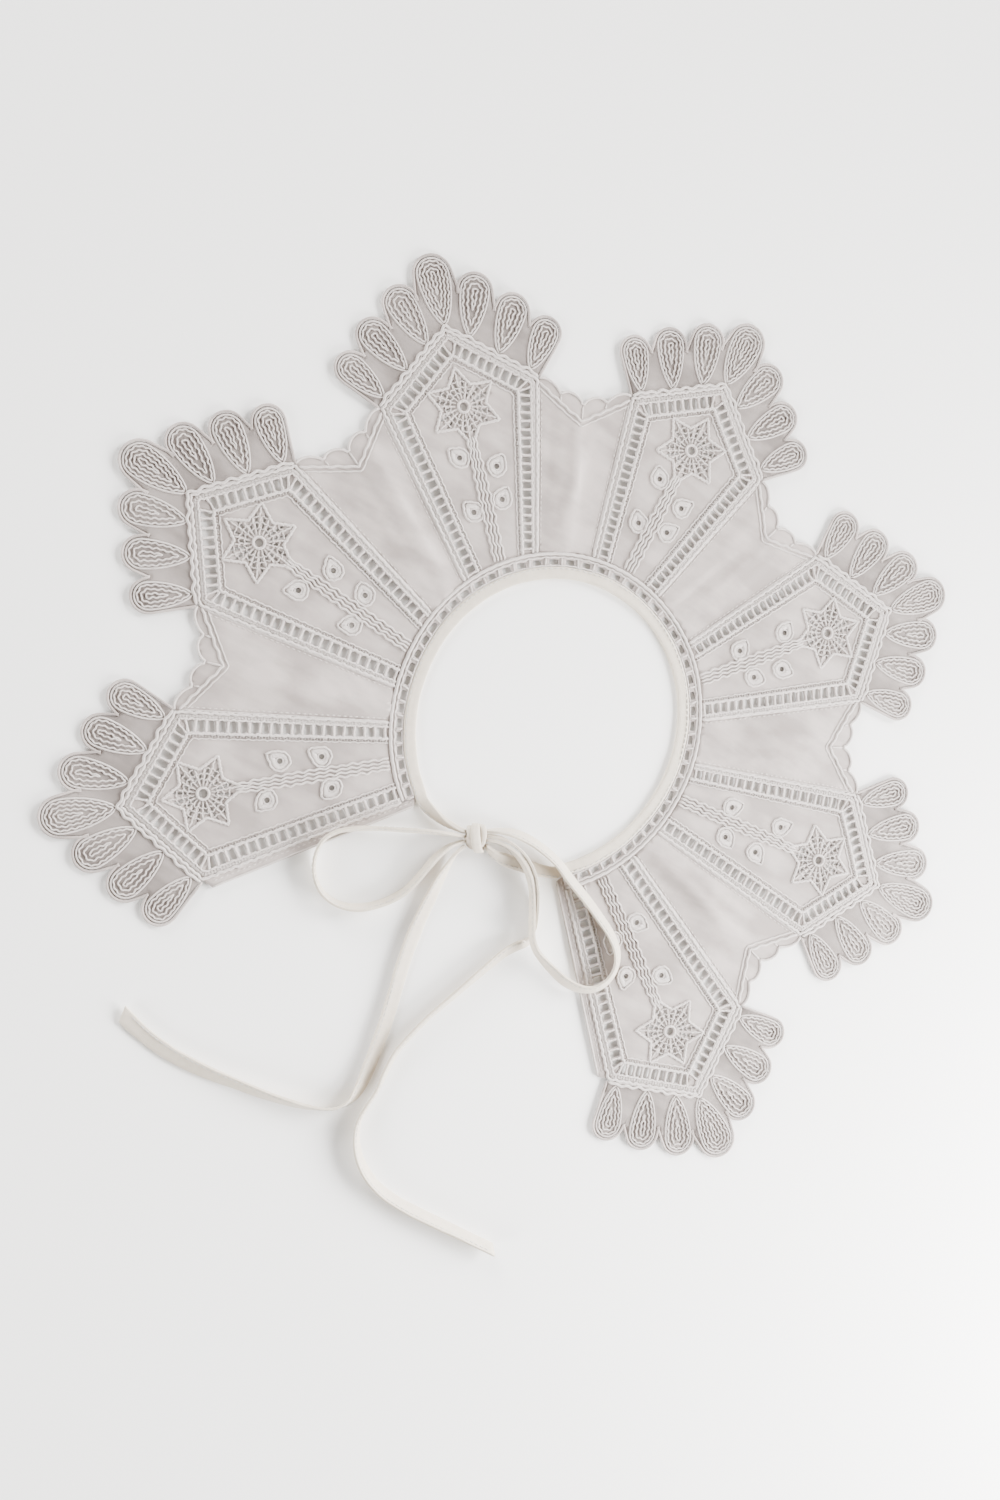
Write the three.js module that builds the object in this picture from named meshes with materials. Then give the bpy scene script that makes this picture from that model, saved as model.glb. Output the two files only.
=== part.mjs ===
// Lace collar, opened out flat and tied in a bow at the front of the neck.
// Millimetres, +Z up. The neck opening faces -Y, the middle of the back is at +Y, and +X is
// the wearer's left. Everything is laid out round the fan centre, where the axes of the seven
// panels meet; the whole group is moved at the end so that the origin is the bottom centre of
// the collar without its ties.
import * as THREE from 'three';

// ---------------------------------------------------------------- driving dimensions
const CLOTH = 1.2;                                  // wall of every lawn and lace piece
const SEAM = 0.3;                                   // gap between two sewn pieces
const PANELS = 7;
const PITCH = THREE.MathUtils.degToRad(42.3);       // angle from one panel to the next

// The sewn neck line is a slightly oval curve round the fan centre.
const NECK = { mean: 72.2, back: 7.5, oval: 3.1 };
const NECK_STEPS = 5;                               // chords along one piece's neck edge
const NECK_PASSES = 8;                              // rounds of settling a point on the curve
const INSERTION = { width: 6.0, steps: 72 };
const BINDING = { width: 5.2, thickness: 1.8, end: THREE.MathUtils.degToRad(141), arcs: 30 };

// Panels, in their own directions: "along" the panel from the fan centre, "out" sideways.
const PANEL = { neckHalf: 17, shoulderAlong: 150.5, shoulderOut: 34.5, apex: 177.5 };
// Ladder holes beside a panel's border, counted from the shoulder: how many there are and how
// many of them, the largest, are cut; the plain cloth before the first and after the last;
// and how far from either corner their inner ends stay, so that neighbours don't meet.
const LADDER = { open: 0.6, narrowest: 1.5 };
const LONG_SIDE = {
  holes: 19, cut: 12, fromShoulder: 3.6, fromEnd: 1.6, clearShoulder: 5.9, clearEnd: 0,
  margin: 2.7, endMargin: 1.5, length: 5.7, endLength: 5.1,
};
const SHORT_SIDE = {
  holes: 9, cut: 9, fromShoulder: 3.6, fromEnd: 5.6, clearShoulder: 5.9, clearEnd: 7.2,
  margin: 2.7, endMargin: 2.7, length: 5.7, endLength: 5.7,
};

// Petals of one edging, from the middle one outwards; the others mirror them.
const PETALS = [
  { tipAlong: 208.5, tipOut: 0, radius: 7.8, dir: 0 },
  { tipAlong: 197.8, tipOut: 18.8, radius: 7.0, dir: 20 },
  { tipAlong: 186.2, tipOut: 34.2, radius: 6.8, dir: 31 },
  { tipAlong: 174.1, tipOut: 46.9, radius: 6.4, dir: 36 },
];
const NOTCHES = [
  { along: 190.8, out: 9.3 }, { along: 181.0, out: 22.4 }, { along: 171.8, out: 36.0 },
];
const PETAL_ARC = 6;                                // chords round one petal tip
const PETAL_FOOT = 1.0;                             // height of the edging at either shoulder

// Gores: valleys of the scalloped outer edge across one gore, and the bulge between them.
const SCALLOP = { bulge: 3.2, inner: 146, middle: 148.6, middleAt: 0.48 };
const GORE_GRID = { across: 20, along: 5 };
const FOLD_EASE = { side: 1 / 6, neck: 0.12 };      // how near the seams the folds flatten out
const FOLDS = [                                     // soft folds that run from neck to edge
  { gore: 0, across: 0.36, spread: 0.16, height: 1.5 },
  { gore: 0, across: 0.70, spread: 0.13, height: 0.9 },
  { gore: 1, across: 0.55, spread: 0.18, height: 2.0 },
  { gore: 1, across: 0.24, spread: 0.10, height: 0.8 },
  { gore: 2, across: 0.44, spread: 0.16, height: 1.8 },
  { gore: 3, across: 0.60, spread: 0.15, height: 1.7 },
  { gore: 3, across: 0.27, spread: 0.12, height: 1.1 },
  { gore: 4, across: 0.40, spread: 0.17, height: 1.9 },
  { gore: 4, across: 0.72, spread: 0.11, height: 1.0 },
  { gore: 5, across: 0.52, spread: 0.16, height: 1.4 },
];
const HEM = { neck: 3.7, neckSetBack: 0.8, tip: 4.6, tipSetBack: 3.5 };   // widths, slanted ends

// Ties: a flat folded tape. Each row of a route is one station: its place, the height of its
// lowest edge, how far its width leans up from flat (degrees, right-hand edge raised) and its
// width, which is gathered where it enters the knot.
const TIE_THICKNESS = 1.2;
const STEPS_PER_ROW = 2;
const KNOT = {
  x: -6.5, y: -51.5, z: 4.35, across: 4.4, tall: 6.0, high: 4.0, turn: 28, segments: 14, rings: 9,
};
const COLUMNS = ['x', 'y', 'lift', 'lean', 'width'];
const LEAD_RIGHT = [
  [-11.95, -51.04, 2.4, 85, 3.6], [-16.5, -51.3, 2.2, 78, 4.2], [-22.5, -51.2, 1.4, 62, 4.8],
  [-29.0, -49.9, 0.6, 34, 5.2], [-33.6, -47.9, 0.1, 8, 5.2],
];
const LEAD_LEFT = [
  [33.4, -48.1, 0.1, -8, 5.2], [28.0, -50.2, 0.2, -8, 5.5], [21.5, -51.7, 0.3, 0, 5.8],
  [14.5, -52.9, 0.4, 8, 5.8], [8.5, -53.6, 0.9, 32, 5.4], [3.5, -53.3, 1.8, 66, 4.4],
  [-1.05, -51.96, 2.4, 85, 3.6],
];
const LOOP_RIGHT = [
  [-11.28, -52.96, 2.4, 85, 3.6], [-16.5, -54.7, 2.4, 80, 4.8], [-23.5, -57.2, 2.0, 74, 6.2],
  [-31.0, -60.3, 1.8, 74, 6.5], [-39.5, -64.0, 1.7, 75, 6.5], [-47.5, -67.6, 1.7, 75, 6.5],
  [-55.0, -71.6, 1.7, 75, 6.5], [-60.5, -75.8, 1.7, 75, 6.5], [-63.8, -80.8, 1.7, 75, 6.5],
  [-64.2, -86.5, 1.5, 75, 6.5], [-62.4, -92.3, 0.7, 75, 6.5], [-59.2, -97.0, 0.2, 75, 6.5],
  [-54.6, -100.6, 0.1, 75, 6.5], [-48.8, -102.2, 0.1, 74, 6.5], [-42.5, -101.8, 0.1, 74, 6.5],
  [-36.2, -99.2, 0.1, 74, 6.5], [-30.6, -94.9, 0.1, 75, 6.5], [-26.0, -89.8, 0.1, 76, 6.5],
  [-22.7, -84.4, 0.2, 77, 6.5], [-20.6, -77.5, 0.4, 78, 6.5], [-19.2, -71.0, 0.8, 80, 6.5],
  [-17.6, -65.0, 1.3, 80, 6.0], [-14.8, -59.3, 2.0, 83, 4.8], [-10.34, -54.72, 2.4, 85, 3.6],
];
const LOOP_LEFT = [
  [-3.86, -46.66, 2.4, 85, 3.6], [1.0, -44.0, 2.6, 75, 5.0], [6.5, -42.0, 2.6, 62, 6.3],
  [13.5, -41.2, 2.6, 55, 6.5], [21.5, -41.8, 2.6, 52, 6.5], [31.0, -44.0, 2.5, 50, 6.5],
  [39.5, -47.8, 2.4, 50, 6.5], [50.0, -52.0, 2.0, 48, 6.5], [60.0, -56.5, 1.7, 48, 6.5],
  [68.5, -61.0, 1.7, 50, 6.5], [74.8, -66.5, 1.7, 52, 6.5], [77.6, -73.0, 1.7, 55, 6.5],
  [77.0, -79.5, 1.7, 55, 6.5], [73.5, -85.0, 1.7, 55, 6.5], [67.5, -88.0, 1.7, 55, 6.5],
  [59.5, -88.3, 1.7, 55, 6.5], [51.5, -86.3, 1.8, 60, 6.5], [44.5, -83.9, 2.8, 70, 6.5],
  [39.2, -81.4, 4.5, 80, 6.2], [35.6, -78.0, 5.0, 85, 6.0], [33.4, -73.4, 3.4, 85, 6.0],
  [30.8, -67.2, 1.4, 85, 6.0], [26.5, -60.3, 2.4, 85, 6.0], [20.8, -54.2, 3.6, 85, 6.0],
  [13.5, -49.8, 3.6, 85, 6.0], [6.5, -48.4, 3.2, 85, 5.4], [2.0, -48.7, 2.8, 85, 4.4],
  [-1.72, -50.04, 2.4, 85, 3.6],
];
const TAIL_RIGHT = [
  [-9.13, -56.34, 2.4, 85, 3.6], [-10.8, -60.5, 1.8, 75, 4.8], [-11.6, -66.5, 1.0, 60, 6.0],
  [-11.7, -74.0, 0.4, 42, 6.5], [-11.3, -83.0, 0.1, 28, 6.5], [-10.6, -97.0, 0.1, 20, 6.5],
  [-8.8, -111.0, 0.1, 18, 6.5], [-5.9, -125.0, 0.1, 18, 6.5], [-3.4, -138.0, 0.1, 20, 6.5],
  [-1.8, -150.0, 0.1, 20, 6.5], [-0.6, -161.0, 0.1, 26, 6.5], [-0.6, -168.5, 0.1, 40, 6.5],
  [-2.2, -174.2, 0.1, 62, 6.5], [-6.4, -178.8, 0.1, 74, 6.5], [-12.5, -181.6, 0.1, 70, 6.5],
  [-21.0, -183.6, 0.1, 62, 6.5], [-33.0, -185.3, 0.1, 52, 6.5], [-47.0, -186.3, 0.1, 42, 6.5],
  [-62.0, -187.0, 0.1, 30, 6.5], [-75.0, -186.6, 0.1, 22, 6.5], [-86.0, -185.0, 0.1, 16, 6.5],
  [-95.0, -182.6, 0.1, 14, 6.5], [-102.5, -180.0, 0.1, 12, 6.5],
];
const TAIL_LEFT = [
  [-2.66, -48.28, 2.4, 85, 3.6], [1.8, -46.6, 2.8, 85, 4.4], [7.0, -46.0, 3.2, 85, 5.4],
  [14.5, -47.4, 3.6, 85, 6.0], [22.3, -52.0, 3.6, 85, 6.0], [28.3, -58.6, 2.2, 85, 6.2],
  [32.8, -66.2, 0.5, 85, 6.2], [35.7, -73.0, 0.1, 85, 6.0], [36.9, -77.2, 0.1, 60, 4.5],
  [36.2, -80.9, 0.1, 25, 4.0], [33.2, -84.0, 0.1, 35, 5.5], [29.5, -88.6, 0.1, 45, 6.5],
  [25.5, -97.0, 0.1, 50, 6.5], [21.3, -106.5, 0.1, 55, 6.5], [16.5, -117.5, 0.1, 58, 6.5],
  [12.0, -128.0, 0.1, 60, 6.5], [8.7, -138.0, 0.1, 60, 6.5], [6.4, -147.0, 0.1, 60, 6.5],
  [6.1, -156.0, 0.1, 62, 6.5], [6.7, -164.0, 0.1, 66, 6.5], [5.9, -172.0, 0.1, 66, 6.5],
  [5.8, -179.5, 0.1, 64, 6.5], [8.6, -187.0, 0.1, 62, 6.5], [13.5, -193.3, 0.1, 60, 6.5],
  [20.3, -198.3, 0.1, 58, 6.5], [29.0, -201.9, 0.1, 56, 6.5], [42.0, -203.9, 0.1, 56, 6.5],
  [56.0, -204.5, 0.1, 58, 6.5], [72.0, -204.9, 0.1, 60, 6.5], [86.5, -205.3, 0.1, 60, 6.5],
];

// ---------------------------------------------------------------- finishes
const LAWN = { color: 0xd8d3cf, roughness: 0.85, metalness: 0 };
const LACE = { color: 0xdedad7, roughness: 0.9, metalness: 0 };
const TAPE = { color: 0xf0ece7, roughness: 0.6, metalness: 0 };

const group = new THREE.Group();

function addPiece(name, geometry, finish) {
  const mesh = new THREE.Mesh(geometry, new THREE.MeshStandardMaterial(finish));
  mesh.name = name;
  group.add(mesh);
}

// ---------------------------------------------------------------- the fan's geometry
const panelAngle = (index) => (index - (PANELS - 1) / 2) * PITCH;
const lerp = THREE.MathUtils.lerp;

// A point given along and out from an axis at an angle from +Y, clockwise seen from above.
function place(angle, along, out) {
  return new THREE.Vector2(
    along * Math.sin(angle) + out * Math.cos(angle),
    along * Math.cos(angle) - out * Math.sin(angle));
}

function neckRadius(angle, offset) {
  return NECK.mean + NECK.back * Math.cos(angle) + NECK.oval * Math.cos(2 * angle) + offset;
}

function neckPoint(angle, offset) {
  return place(angle, neckRadius(angle, offset), 0);
}

// How far along an axis the neck curve lies, at a distance out from that axis.
function neckAlong(angle, out, offset) {
  let along = neckRadius(angle, offset);
  for (let pass = 0; pass < NECK_PASSES; pass += 1) {
    const point = place(angle, along, out);
    along += neckRadius(Math.atan2(point.x, point.y), offset) - point.length();
  }
  return along;
}

// ---------------------------------------------------------------- flat pieces
function slab(outline, holes = []) {
  const shape = new THREE.Shape(outline);
  shape.holes = holes.map((hole) => new THREE.Path(hole));
  return new THREE.ExtrudeGeometry(shape, { depth: CLOTH, bevelEnabled: false, steps: 1 });
}

function neckEdge(angle, from, to) {
  const points = [];
  for (let step = 0; step <= NECK_STEPS; step += 1) {
    const out = lerp(from, to, step / NECK_STEPS);
    points.push(place(angle, neckAlong(angle, out, 0), out));
  }
  return points;
}

// The four-sided ladder holes along one side of a panel, from its shoulder to its other end.
function ladder(angle, shoulder, end, rule) {
  const run = end.clone().sub(shoulder);
  const reach = run.length();
  const along = run.clone().divideScalar(reach);
  const inward = new THREE.Vector2(-along.y, along.x);
  if (inward.y * shoulder.y > 0) inward.negate();
  const pitch = (reach - rule.fromShoulder - rule.fromEnd) / rule.holes;
  const spot = (distance, depth) => {
    const point = shoulder.clone().addScaledVector(along, distance).addScaledVector(inward, depth);
    return place(angle, point.x, point.y);
  };
  const last = reach - rule.clearEnd;
  const holes = [];
  for (let index = 0; index < rule.cut; index += 1) {
    const middle = rule.fromShoulder + (index + 0.5) * pitch;
    const half = LADDER.open * pitch / 2;
    const outer = lerp(rule.margin, rule.endMargin, middle / reach);
    const inner = outer + lerp(rule.length, rule.endLength, middle / reach);
    const low = Math.min(Math.max(middle - half, rule.clearShoulder), last - LADDER.narrowest);
    const high = Math.min(Math.max(middle + half, rule.clearShoulder + LADDER.narrowest), last);
    holes.push([
      spot(middle - half, outer), spot(middle + half, outer), spot(high, inner), spot(low, inner)]);
  }
  return holes;
}

function panelHoles(angle) {
  const holes = [];
  for (const side of [-1, 1]) {
    const shoulder = new THREE.Vector2(PANEL.shoulderAlong, side * PANEL.shoulderOut);
    const apex = new THREE.Vector2(PANEL.apex, 0);
    const neck = new THREE.Vector2(
      neckAlong(angle, side * PANEL.neckHalf, 0), side * PANEL.neckHalf);
    holes.push(...ladder(angle, shoulder, neck, LONG_SIDE));
    holes.push(...ladder(angle, shoulder, apex, SHORT_SIDE));
  }
  return holes;
}

function panelPiece(index) {
  const angle = panelAngle(index);
  const outline = neckEdge(angle, -PANEL.neckHalf, PANEL.neckHalf);
  outline.push(place(angle, PANEL.shoulderAlong, PANEL.shoulderOut));
  outline.push(place(angle, PANEL.apex, 0));
  outline.push(place(angle, PANEL.shoulderAlong, -PANEL.shoulderOut));
  return slab(outline, panelHoles(angle));
}

// The point where a straight line from a point touches a circle, on one side of it.
function tangentPoint(from, centre, radius, side) {
  const gap = centre.clone().sub(from);
  const heading = gap.angle() + side * Math.asin(radius / gap.length());
  const reach = Math.sqrt(gap.lengthSq() - radius * radius);
  return new THREE.Vector2(from.x + reach * Math.cos(heading), from.y + reach * Math.sin(heading));
}

function petalTip(before, after, petal, side) {
  const lean = THREE.MathUtils.degToRad(petal.dir) * side;
  const centre = new THREE.Vector2(
    petal.tipAlong - petal.radius * Math.cos(lean),
    side * petal.tipOut - petal.radius * Math.sin(lean));
  const entry = tangentPoint(before, centre, petal.radius, -1).sub(centre).angle();
  let exit = tangentPoint(after, centre, petal.radius, 1).sub(centre).angle();
  if (exit < entry) exit += 2 * Math.PI;
  const points = [];
  for (let step = 0; step <= PETAL_ARC; step += 1) {
    const turn = lerp(entry, exit, step / PETAL_ARC);
    points.push(new THREE.Vector2(
      centre.x + petal.radius * Math.cos(turn), centre.y + petal.radius * Math.sin(turn)));
  }
  return points;
}

function petalPiece(index) {
  const angle = panelAngle(index);
  const slope = Math.atan2(PANEL.apex - PANEL.shoulderAlong, PANEL.shoulderOut);
  const normal = new THREE.Vector2(Math.cos(slope), Math.sin(slope));
  const shoulder = (side, gap) => new THREE.Vector2(
    PANEL.shoulderAlong + gap * normal.x, side * (PANEL.shoulderOut + gap * normal.y));
  const notch = (rank, side) => new THREE.Vector2(NOTCHES[rank].along, side * NOTCHES[rank].out);
  const breaks = [
    shoulder(-1, PETAL_FOOT), notch(2, -1), notch(1, -1), notch(0, -1),
    notch(0, 1), notch(1, 1), notch(2, 1), shoulder(1, PETAL_FOOT)];
  const outline = [];
  for (let petal = 0; petal < breaks.length - 1; petal += 1) {
    const rank = petal - (PETALS.length - 1);
    const side = rank < 0 ? -1 : 1;
    outline.push(breaks[petal]);
    outline.push(...petalTip(breaks[petal], breaks[petal + 1], PETALS[Math.abs(rank)], side));
  }
  outline.push(breaks[breaks.length - 1]);
  outline.push(shoulder(1, SEAM));
  outline.push(new THREE.Vector2(PANEL.apex + SEAM / normal.x, 0));
  outline.push(shoulder(-1, SEAM));
  return slab(outline.map((point) => place(angle, point.x, point.y)));
}

function hemPiece(side) {
  const angle = panelAngle(side < 0 ? 0 : PANELS - 1);
  const inner = PANEL.neckHalf + SEAM;
  const neckLine = neckAlong(angle, inner, 0);
  const slope = (PANEL.shoulderOut - PANEL.neckHalf) / (PANEL.shoulderAlong - neckLine);
  const edge = (along) => inner + slope * (along - neckLine);
  const start = neckAlong(angle, side * edge(neckLine - INSERTION.width), -INSERTION.width);
  const end = PANEL.shoulderAlong;
  const freeStart = start + HEM.neckSetBack;
  const freeEnd = end - HEM.tipSetBack;
  const outline = [
    [start, edge(start)], [end, edge(end)],
    [freeEnd, edge(freeEnd) + HEM.tip], [freeStart, edge(freeStart) + HEM.neck]];
  return slab(outline.map(([along, out]) => place(angle, along, side * out)));
}

function insertionPiece() {
  const hemAngle = panelAngle(PANELS - 1);
  const limit = place(hemAngle, neckAlong(hemAngle, PANEL.neckHalf, 0), PANEL.neckHalf);
  const end = Math.atan2(limit.x, limit.y);
  const outline = [];
  for (let step = 0; step <= INSERTION.steps; step += 1) {
    outline.push(neckPoint(lerp(-end, end, step / INSERTION.steps), -SEAM));
  }
  for (let step = INSERTION.steps; step >= 0; step -= 1) {
    outline.push(neckPoint(lerp(-end, end, step / INSERTION.steps), -INSERTION.width));
  }
  return slab(outline);
}

// ---------------------------------------------------------------- gores
// Outer edge of a gore: how far along its axis, at a share (-1 to 1) of its half width.
function scallopAlong(share, corner) {
  const reach = Math.abs(share);
  const inside = reach < SCALLOP.middleAt;
  const from = inside ? 0 : SCALLOP.middleAt;
  const to = inside ? SCALLOP.middleAt : 1;
  const low = inside ? SCALLOP.inner : SCALLOP.middle;
  const high = inside ? SCALLOP.middle : corner;
  const along = (reach - from) / (to - from);
  return lerp(low, high, along) + SCALLOP.bulge * Math.sqrt(Math.sin(Math.PI * Math.min(along, 1)));
}

function foldHeight(gore, across, along) {
  let height = 0;
  for (const fold of FOLDS) {
    if (fold.gore !== gore) continue;
    const away = (across - fold.across) / fold.spread;
    height += fold.height * Math.exp(-away * away);
  }
  const side = Math.min(1, Math.min(across, 1 - across) / FOLD_EASE.side);
  return height * side * Math.sin(Math.PI * lerp(FOLD_EASE.neck, 1, along));
}

// A closed wall of the cloth's thickness over a grid of points on its underside.
function clothWall(rows, columns, point) {
  const vertices = [];
  const faces = [];
  for (const lift of [0, CLOTH]) {
    for (let row = 0; row <= rows; row += 1) {
      for (let column = 0; column <= columns; column += 1) {
        const under = point(column / columns, row / rows);
        vertices.push(under.x, under.y, under.z + lift);
      }
    }
  }
  const layer = (rows + 1) * (columns + 1);
  const at = (row, column, top) => row * (columns + 1) + column + (top ? layer : 0);
  const quad = (a, b, c, d) => faces.push(a, b, c, a, c, d);
  for (let row = 0; row < rows; row += 1) {
    for (let column = 0; column < columns; column += 1) {
      const [right, far] = [column + 1, row + 1];
      quad(at(row, column, 1), at(row, right, 1), at(far, right, 1), at(far, column, 1));
      quad(at(row, column), at(far, column), at(far, right), at(row, right));
    }
  }
  for (let column = 0; column < columns; column += 1) {
    quad(at(0, column), at(0, column + 1), at(0, column + 1, 1), at(0, column, 1));
    quad(at(rows, column + 1), at(rows, column), at(rows, column, 1), at(rows, column + 1, 1));
  }
  for (let row = 0; row < rows; row += 1) {
    quad(at(row + 1, 0), at(row, 0), at(row, 0, 1), at(row + 1, 0, 1));
    quad(at(row, columns), at(row + 1, columns), at(row + 1, columns, 1), at(row, columns, 1));
  }
  return closedGeometry(vertices, faces);
}

// Triangles are turned round where the body would come out inside out.
function closedGeometry(vertices, faces) {
  let volume = 0;
  const corner = (index) => new THREE.Vector3().fromArray(vertices, 3 * index);
  for (let face = 0; face < faces.length; face += 3) {
    const [a, b, c] = [0, 1, 2].map((offset) => corner(faces[face + offset]));
    volume += a.dot(b.cross(c));
  }
  if (volume < 0) faces.reverse();
  const geometry = new THREE.BufferGeometry();
  geometry.setAttribute('position', new THREE.Float32BufferAttribute(vertices, 3));
  geometry.setIndex(faces);
  geometry.computeVertexNormals();
  return geometry;
}

function gorePiece(index) {
  const before = panelAngle(index);
  const after = panelAngle(index + 1);
  const middle = (before + after) / 2;
  const out = PANEL.neckHalf + SEAM;
  const neckStart = place(before, neckAlong(before, out, 0), out);
  const neckEnd = place(after, neckAlong(after, -out, 0), -out);
  const from = Math.atan2(neckStart.x, neckStart.y);
  const to = Math.atan2(neckEnd.x, neckEnd.y);
  const corner = place(PITCH / 2, PANEL.shoulderAlong, -(PANEL.shoulderOut + SEAM));
  const halfWidth = Math.abs(corner.x);
  const outerEdge = (share) => place(middle, scallopAlong(share, corner.y), share * halfWidth);
  return clothWall(GORE_GRID.along, GORE_GRID.across, (across, along) => {
    const flat = neckPoint(lerp(from, to, across), 0).lerp(outerEdge(2 * across - 1), along);
    return new THREE.Vector3(flat.x, flat.y, foldHeight(index, across, along));
  });
}

// ---------------------------------------------------------------- tapes
function named(rows) {
  return rows.map((row) => Object.fromEntries(COLUMNS.map((column, index) => [column, row[index]])));
}

// A flat tape swept along a route of named rows, with two flat ends.
function tapePiece(route, thickness) {
  const centres = route.map((row) => {
    const lean = THREE.MathUtils.degToRad(row.lean);
    const rise = row.width / 2 * Math.abs(Math.sin(lean)) + thickness / 2 * Math.cos(lean);
    return new THREE.Vector3(row.x, row.y, row.lift + rise);
  });
  const curve = new THREE.CatmullRomCurve3(centres, false, 'centripetal');
  const steps = (route.length - 1) * STEPS_PER_ROW;
  const vertices = [];
  const faces = [];
  for (let step = 0; step <= steps; step += 1) {
    const share = step / steps;
    const row = Math.min(Math.floor(step / STEPS_PER_ROW), route.length - 2);
    const part = step / STEPS_PER_ROW - row;
    const lean = THREE.MathUtils.degToRad(lerp(route[row].lean, route[row + 1].lean, part));
    const width = lerp(route[row].width, route[row + 1].width, part);
    const tangent = curve.getTangent(share);
    const side = new THREE.Vector3(tangent.y, -tangent.x, 0).normalize();
    const up = new THREE.Vector3().crossVectors(side, tangent).normalize();
    const across = side.clone().multiplyScalar(Math.cos(lean)).addScaledVector(up, Math.sin(lean));
    const through = up.clone().multiplyScalar(Math.cos(lean)).addScaledVector(side, -Math.sin(lean));
    const centre = curve.getPoint(share);
    for (const [w, t] of [[-0.5, -0.5], [0.5, -0.5], [0.5, 0.5], [-0.5, 0.5]]) {
      const corner = centre.clone().addScaledVector(across, w * width);
      corner.addScaledVector(through, t * thickness);
      vertices.push(corner.x, corner.y, Math.max(corner.z, 0));
    }
  }
  for (let step = 0; step < steps; step += 1) {
    for (let side = 0; side < 4; side += 1) {
      const next = (side + 1) % 4;
      const [a, b, c, d] = [4 * step + side, 4 * step + next, 4 * step + 4 + next, 4 * step + 4 + side];
      faces.push(a, b, c, a, c, d);
    }
  }
  const last = 4 * steps;
  faces.push(0, 2, 1, 0, 3, 2, last, last + 1, last + 2, last, last + 2, last + 3);
  return closedGeometry(vertices, faces);
}

function bindingRoute() {
  const rows = named(LEAD_RIGHT);
  const offset = -(INSERTION.width + SEAM + BINDING.width / 2);
  for (let arc = 0; arc <= BINDING.arcs; arc += 1) {
    const point = neckPoint(lerp(-BINDING.end, BINDING.end, arc / BINDING.arcs), offset);
    rows.push({ x: point.x, y: point.y, lift: 0, lean: 0, width: BINDING.width });
  }
  return rows.concat(named(LEAD_LEFT));
}

function knotPiece() {
  const knot = new THREE.SphereGeometry(1, KNOT.segments, KNOT.rings);
  knot.rotateX(Math.PI / 2);
  knot.scale(KNOT.across, KNOT.tall, KNOT.high);
  knot.rotateZ(THREE.MathUtils.degToRad(KNOT.turn));
  knot.translate(KNOT.x, KNOT.y, KNOT.z);
  return knot;
}

// ---------------------------------------------------------------- the collar
for (let index = 0; index < PANELS; index += 1) {
  addPiece(`panel_${index + 1}`, panelPiece(index), LACE);
  addPiece(`petals_${index + 1}`, petalPiece(index), LACE);
}
for (let index = 0; index < PANELS - 1; index += 1) {
  addPiece(`gore_${index + 1}`, gorePiece(index), LAWN);
}
addPiece('front_hem_right', hemPiece(-1), LAWN);
addPiece('front_hem_left', hemPiece(1), LAWN);
addPiece('neck_insertion', insertionPiece(), LACE);
addPiece('neck_binding', tapePiece(bindingRoute(), BINDING.thickness), TAPE);

const collarBox = new THREE.Box3().setFromObject(group);

addPiece('tie_knot', knotPiece(), TAPE);
addPiece('bow_loop_right', tapePiece(named(LOOP_RIGHT), TIE_THICKNESS), TAPE);
addPiece('bow_loop_left', tapePiece(named(LOOP_LEFT), TIE_THICKNESS), TAPE);
addPiece('tie_tail_right', tapePiece(named(TAIL_RIGHT), TIE_THICKNESS), TAPE);
addPiece('tie_tail_left', tapePiece(named(TAIL_LEFT), TIE_THICKNESS), TAPE);

// Bottom centre of the collar, without its ties, at the origin.
const middle = collarBox.getCenter(new THREE.Vector3());
group.position.set(-middle.x, -middle.y, -collarBox.min.z);

export default group;
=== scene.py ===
# Lace collar laid out flat and tied in a bow: seven embroidered cutwork panels edged with
# petals, six plain lawn gores between them, a neck insertion, and a folded tape for the ties.
# Sizes are in millimetres round the fan centre, where the panels' axes meet, and are turned
# into metres when a piece is made. +Y is the middle of the back, +X the wearer's left.
import math
from collections import namedtuple

import bpy
import numpy as np
from mathutils import Matrix, Vector
from mathutils.geometry import delaunay_2d_cdt


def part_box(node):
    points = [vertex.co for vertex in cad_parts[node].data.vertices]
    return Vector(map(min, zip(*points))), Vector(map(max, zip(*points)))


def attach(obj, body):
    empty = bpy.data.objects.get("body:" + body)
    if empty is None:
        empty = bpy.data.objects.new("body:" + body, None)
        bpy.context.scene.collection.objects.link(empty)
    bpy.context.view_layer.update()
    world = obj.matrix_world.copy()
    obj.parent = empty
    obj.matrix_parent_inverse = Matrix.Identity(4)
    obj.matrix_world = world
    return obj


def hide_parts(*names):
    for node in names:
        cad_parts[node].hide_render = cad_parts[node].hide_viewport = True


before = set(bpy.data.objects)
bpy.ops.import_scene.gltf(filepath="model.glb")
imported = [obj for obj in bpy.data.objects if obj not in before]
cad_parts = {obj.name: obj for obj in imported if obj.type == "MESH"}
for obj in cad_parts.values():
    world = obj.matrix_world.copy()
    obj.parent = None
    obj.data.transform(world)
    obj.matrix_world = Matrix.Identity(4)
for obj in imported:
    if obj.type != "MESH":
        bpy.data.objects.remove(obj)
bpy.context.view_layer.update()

MM = 0.001
PETAL_REACH = 208.5                      # tip of the middle petal, from the fan centre
FAN_CENTRE = np.array([0.0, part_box("petals_4")[1].y - PETAL_REACH * MM, 0.0])
chance = np.random.default_rng(11)


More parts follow.
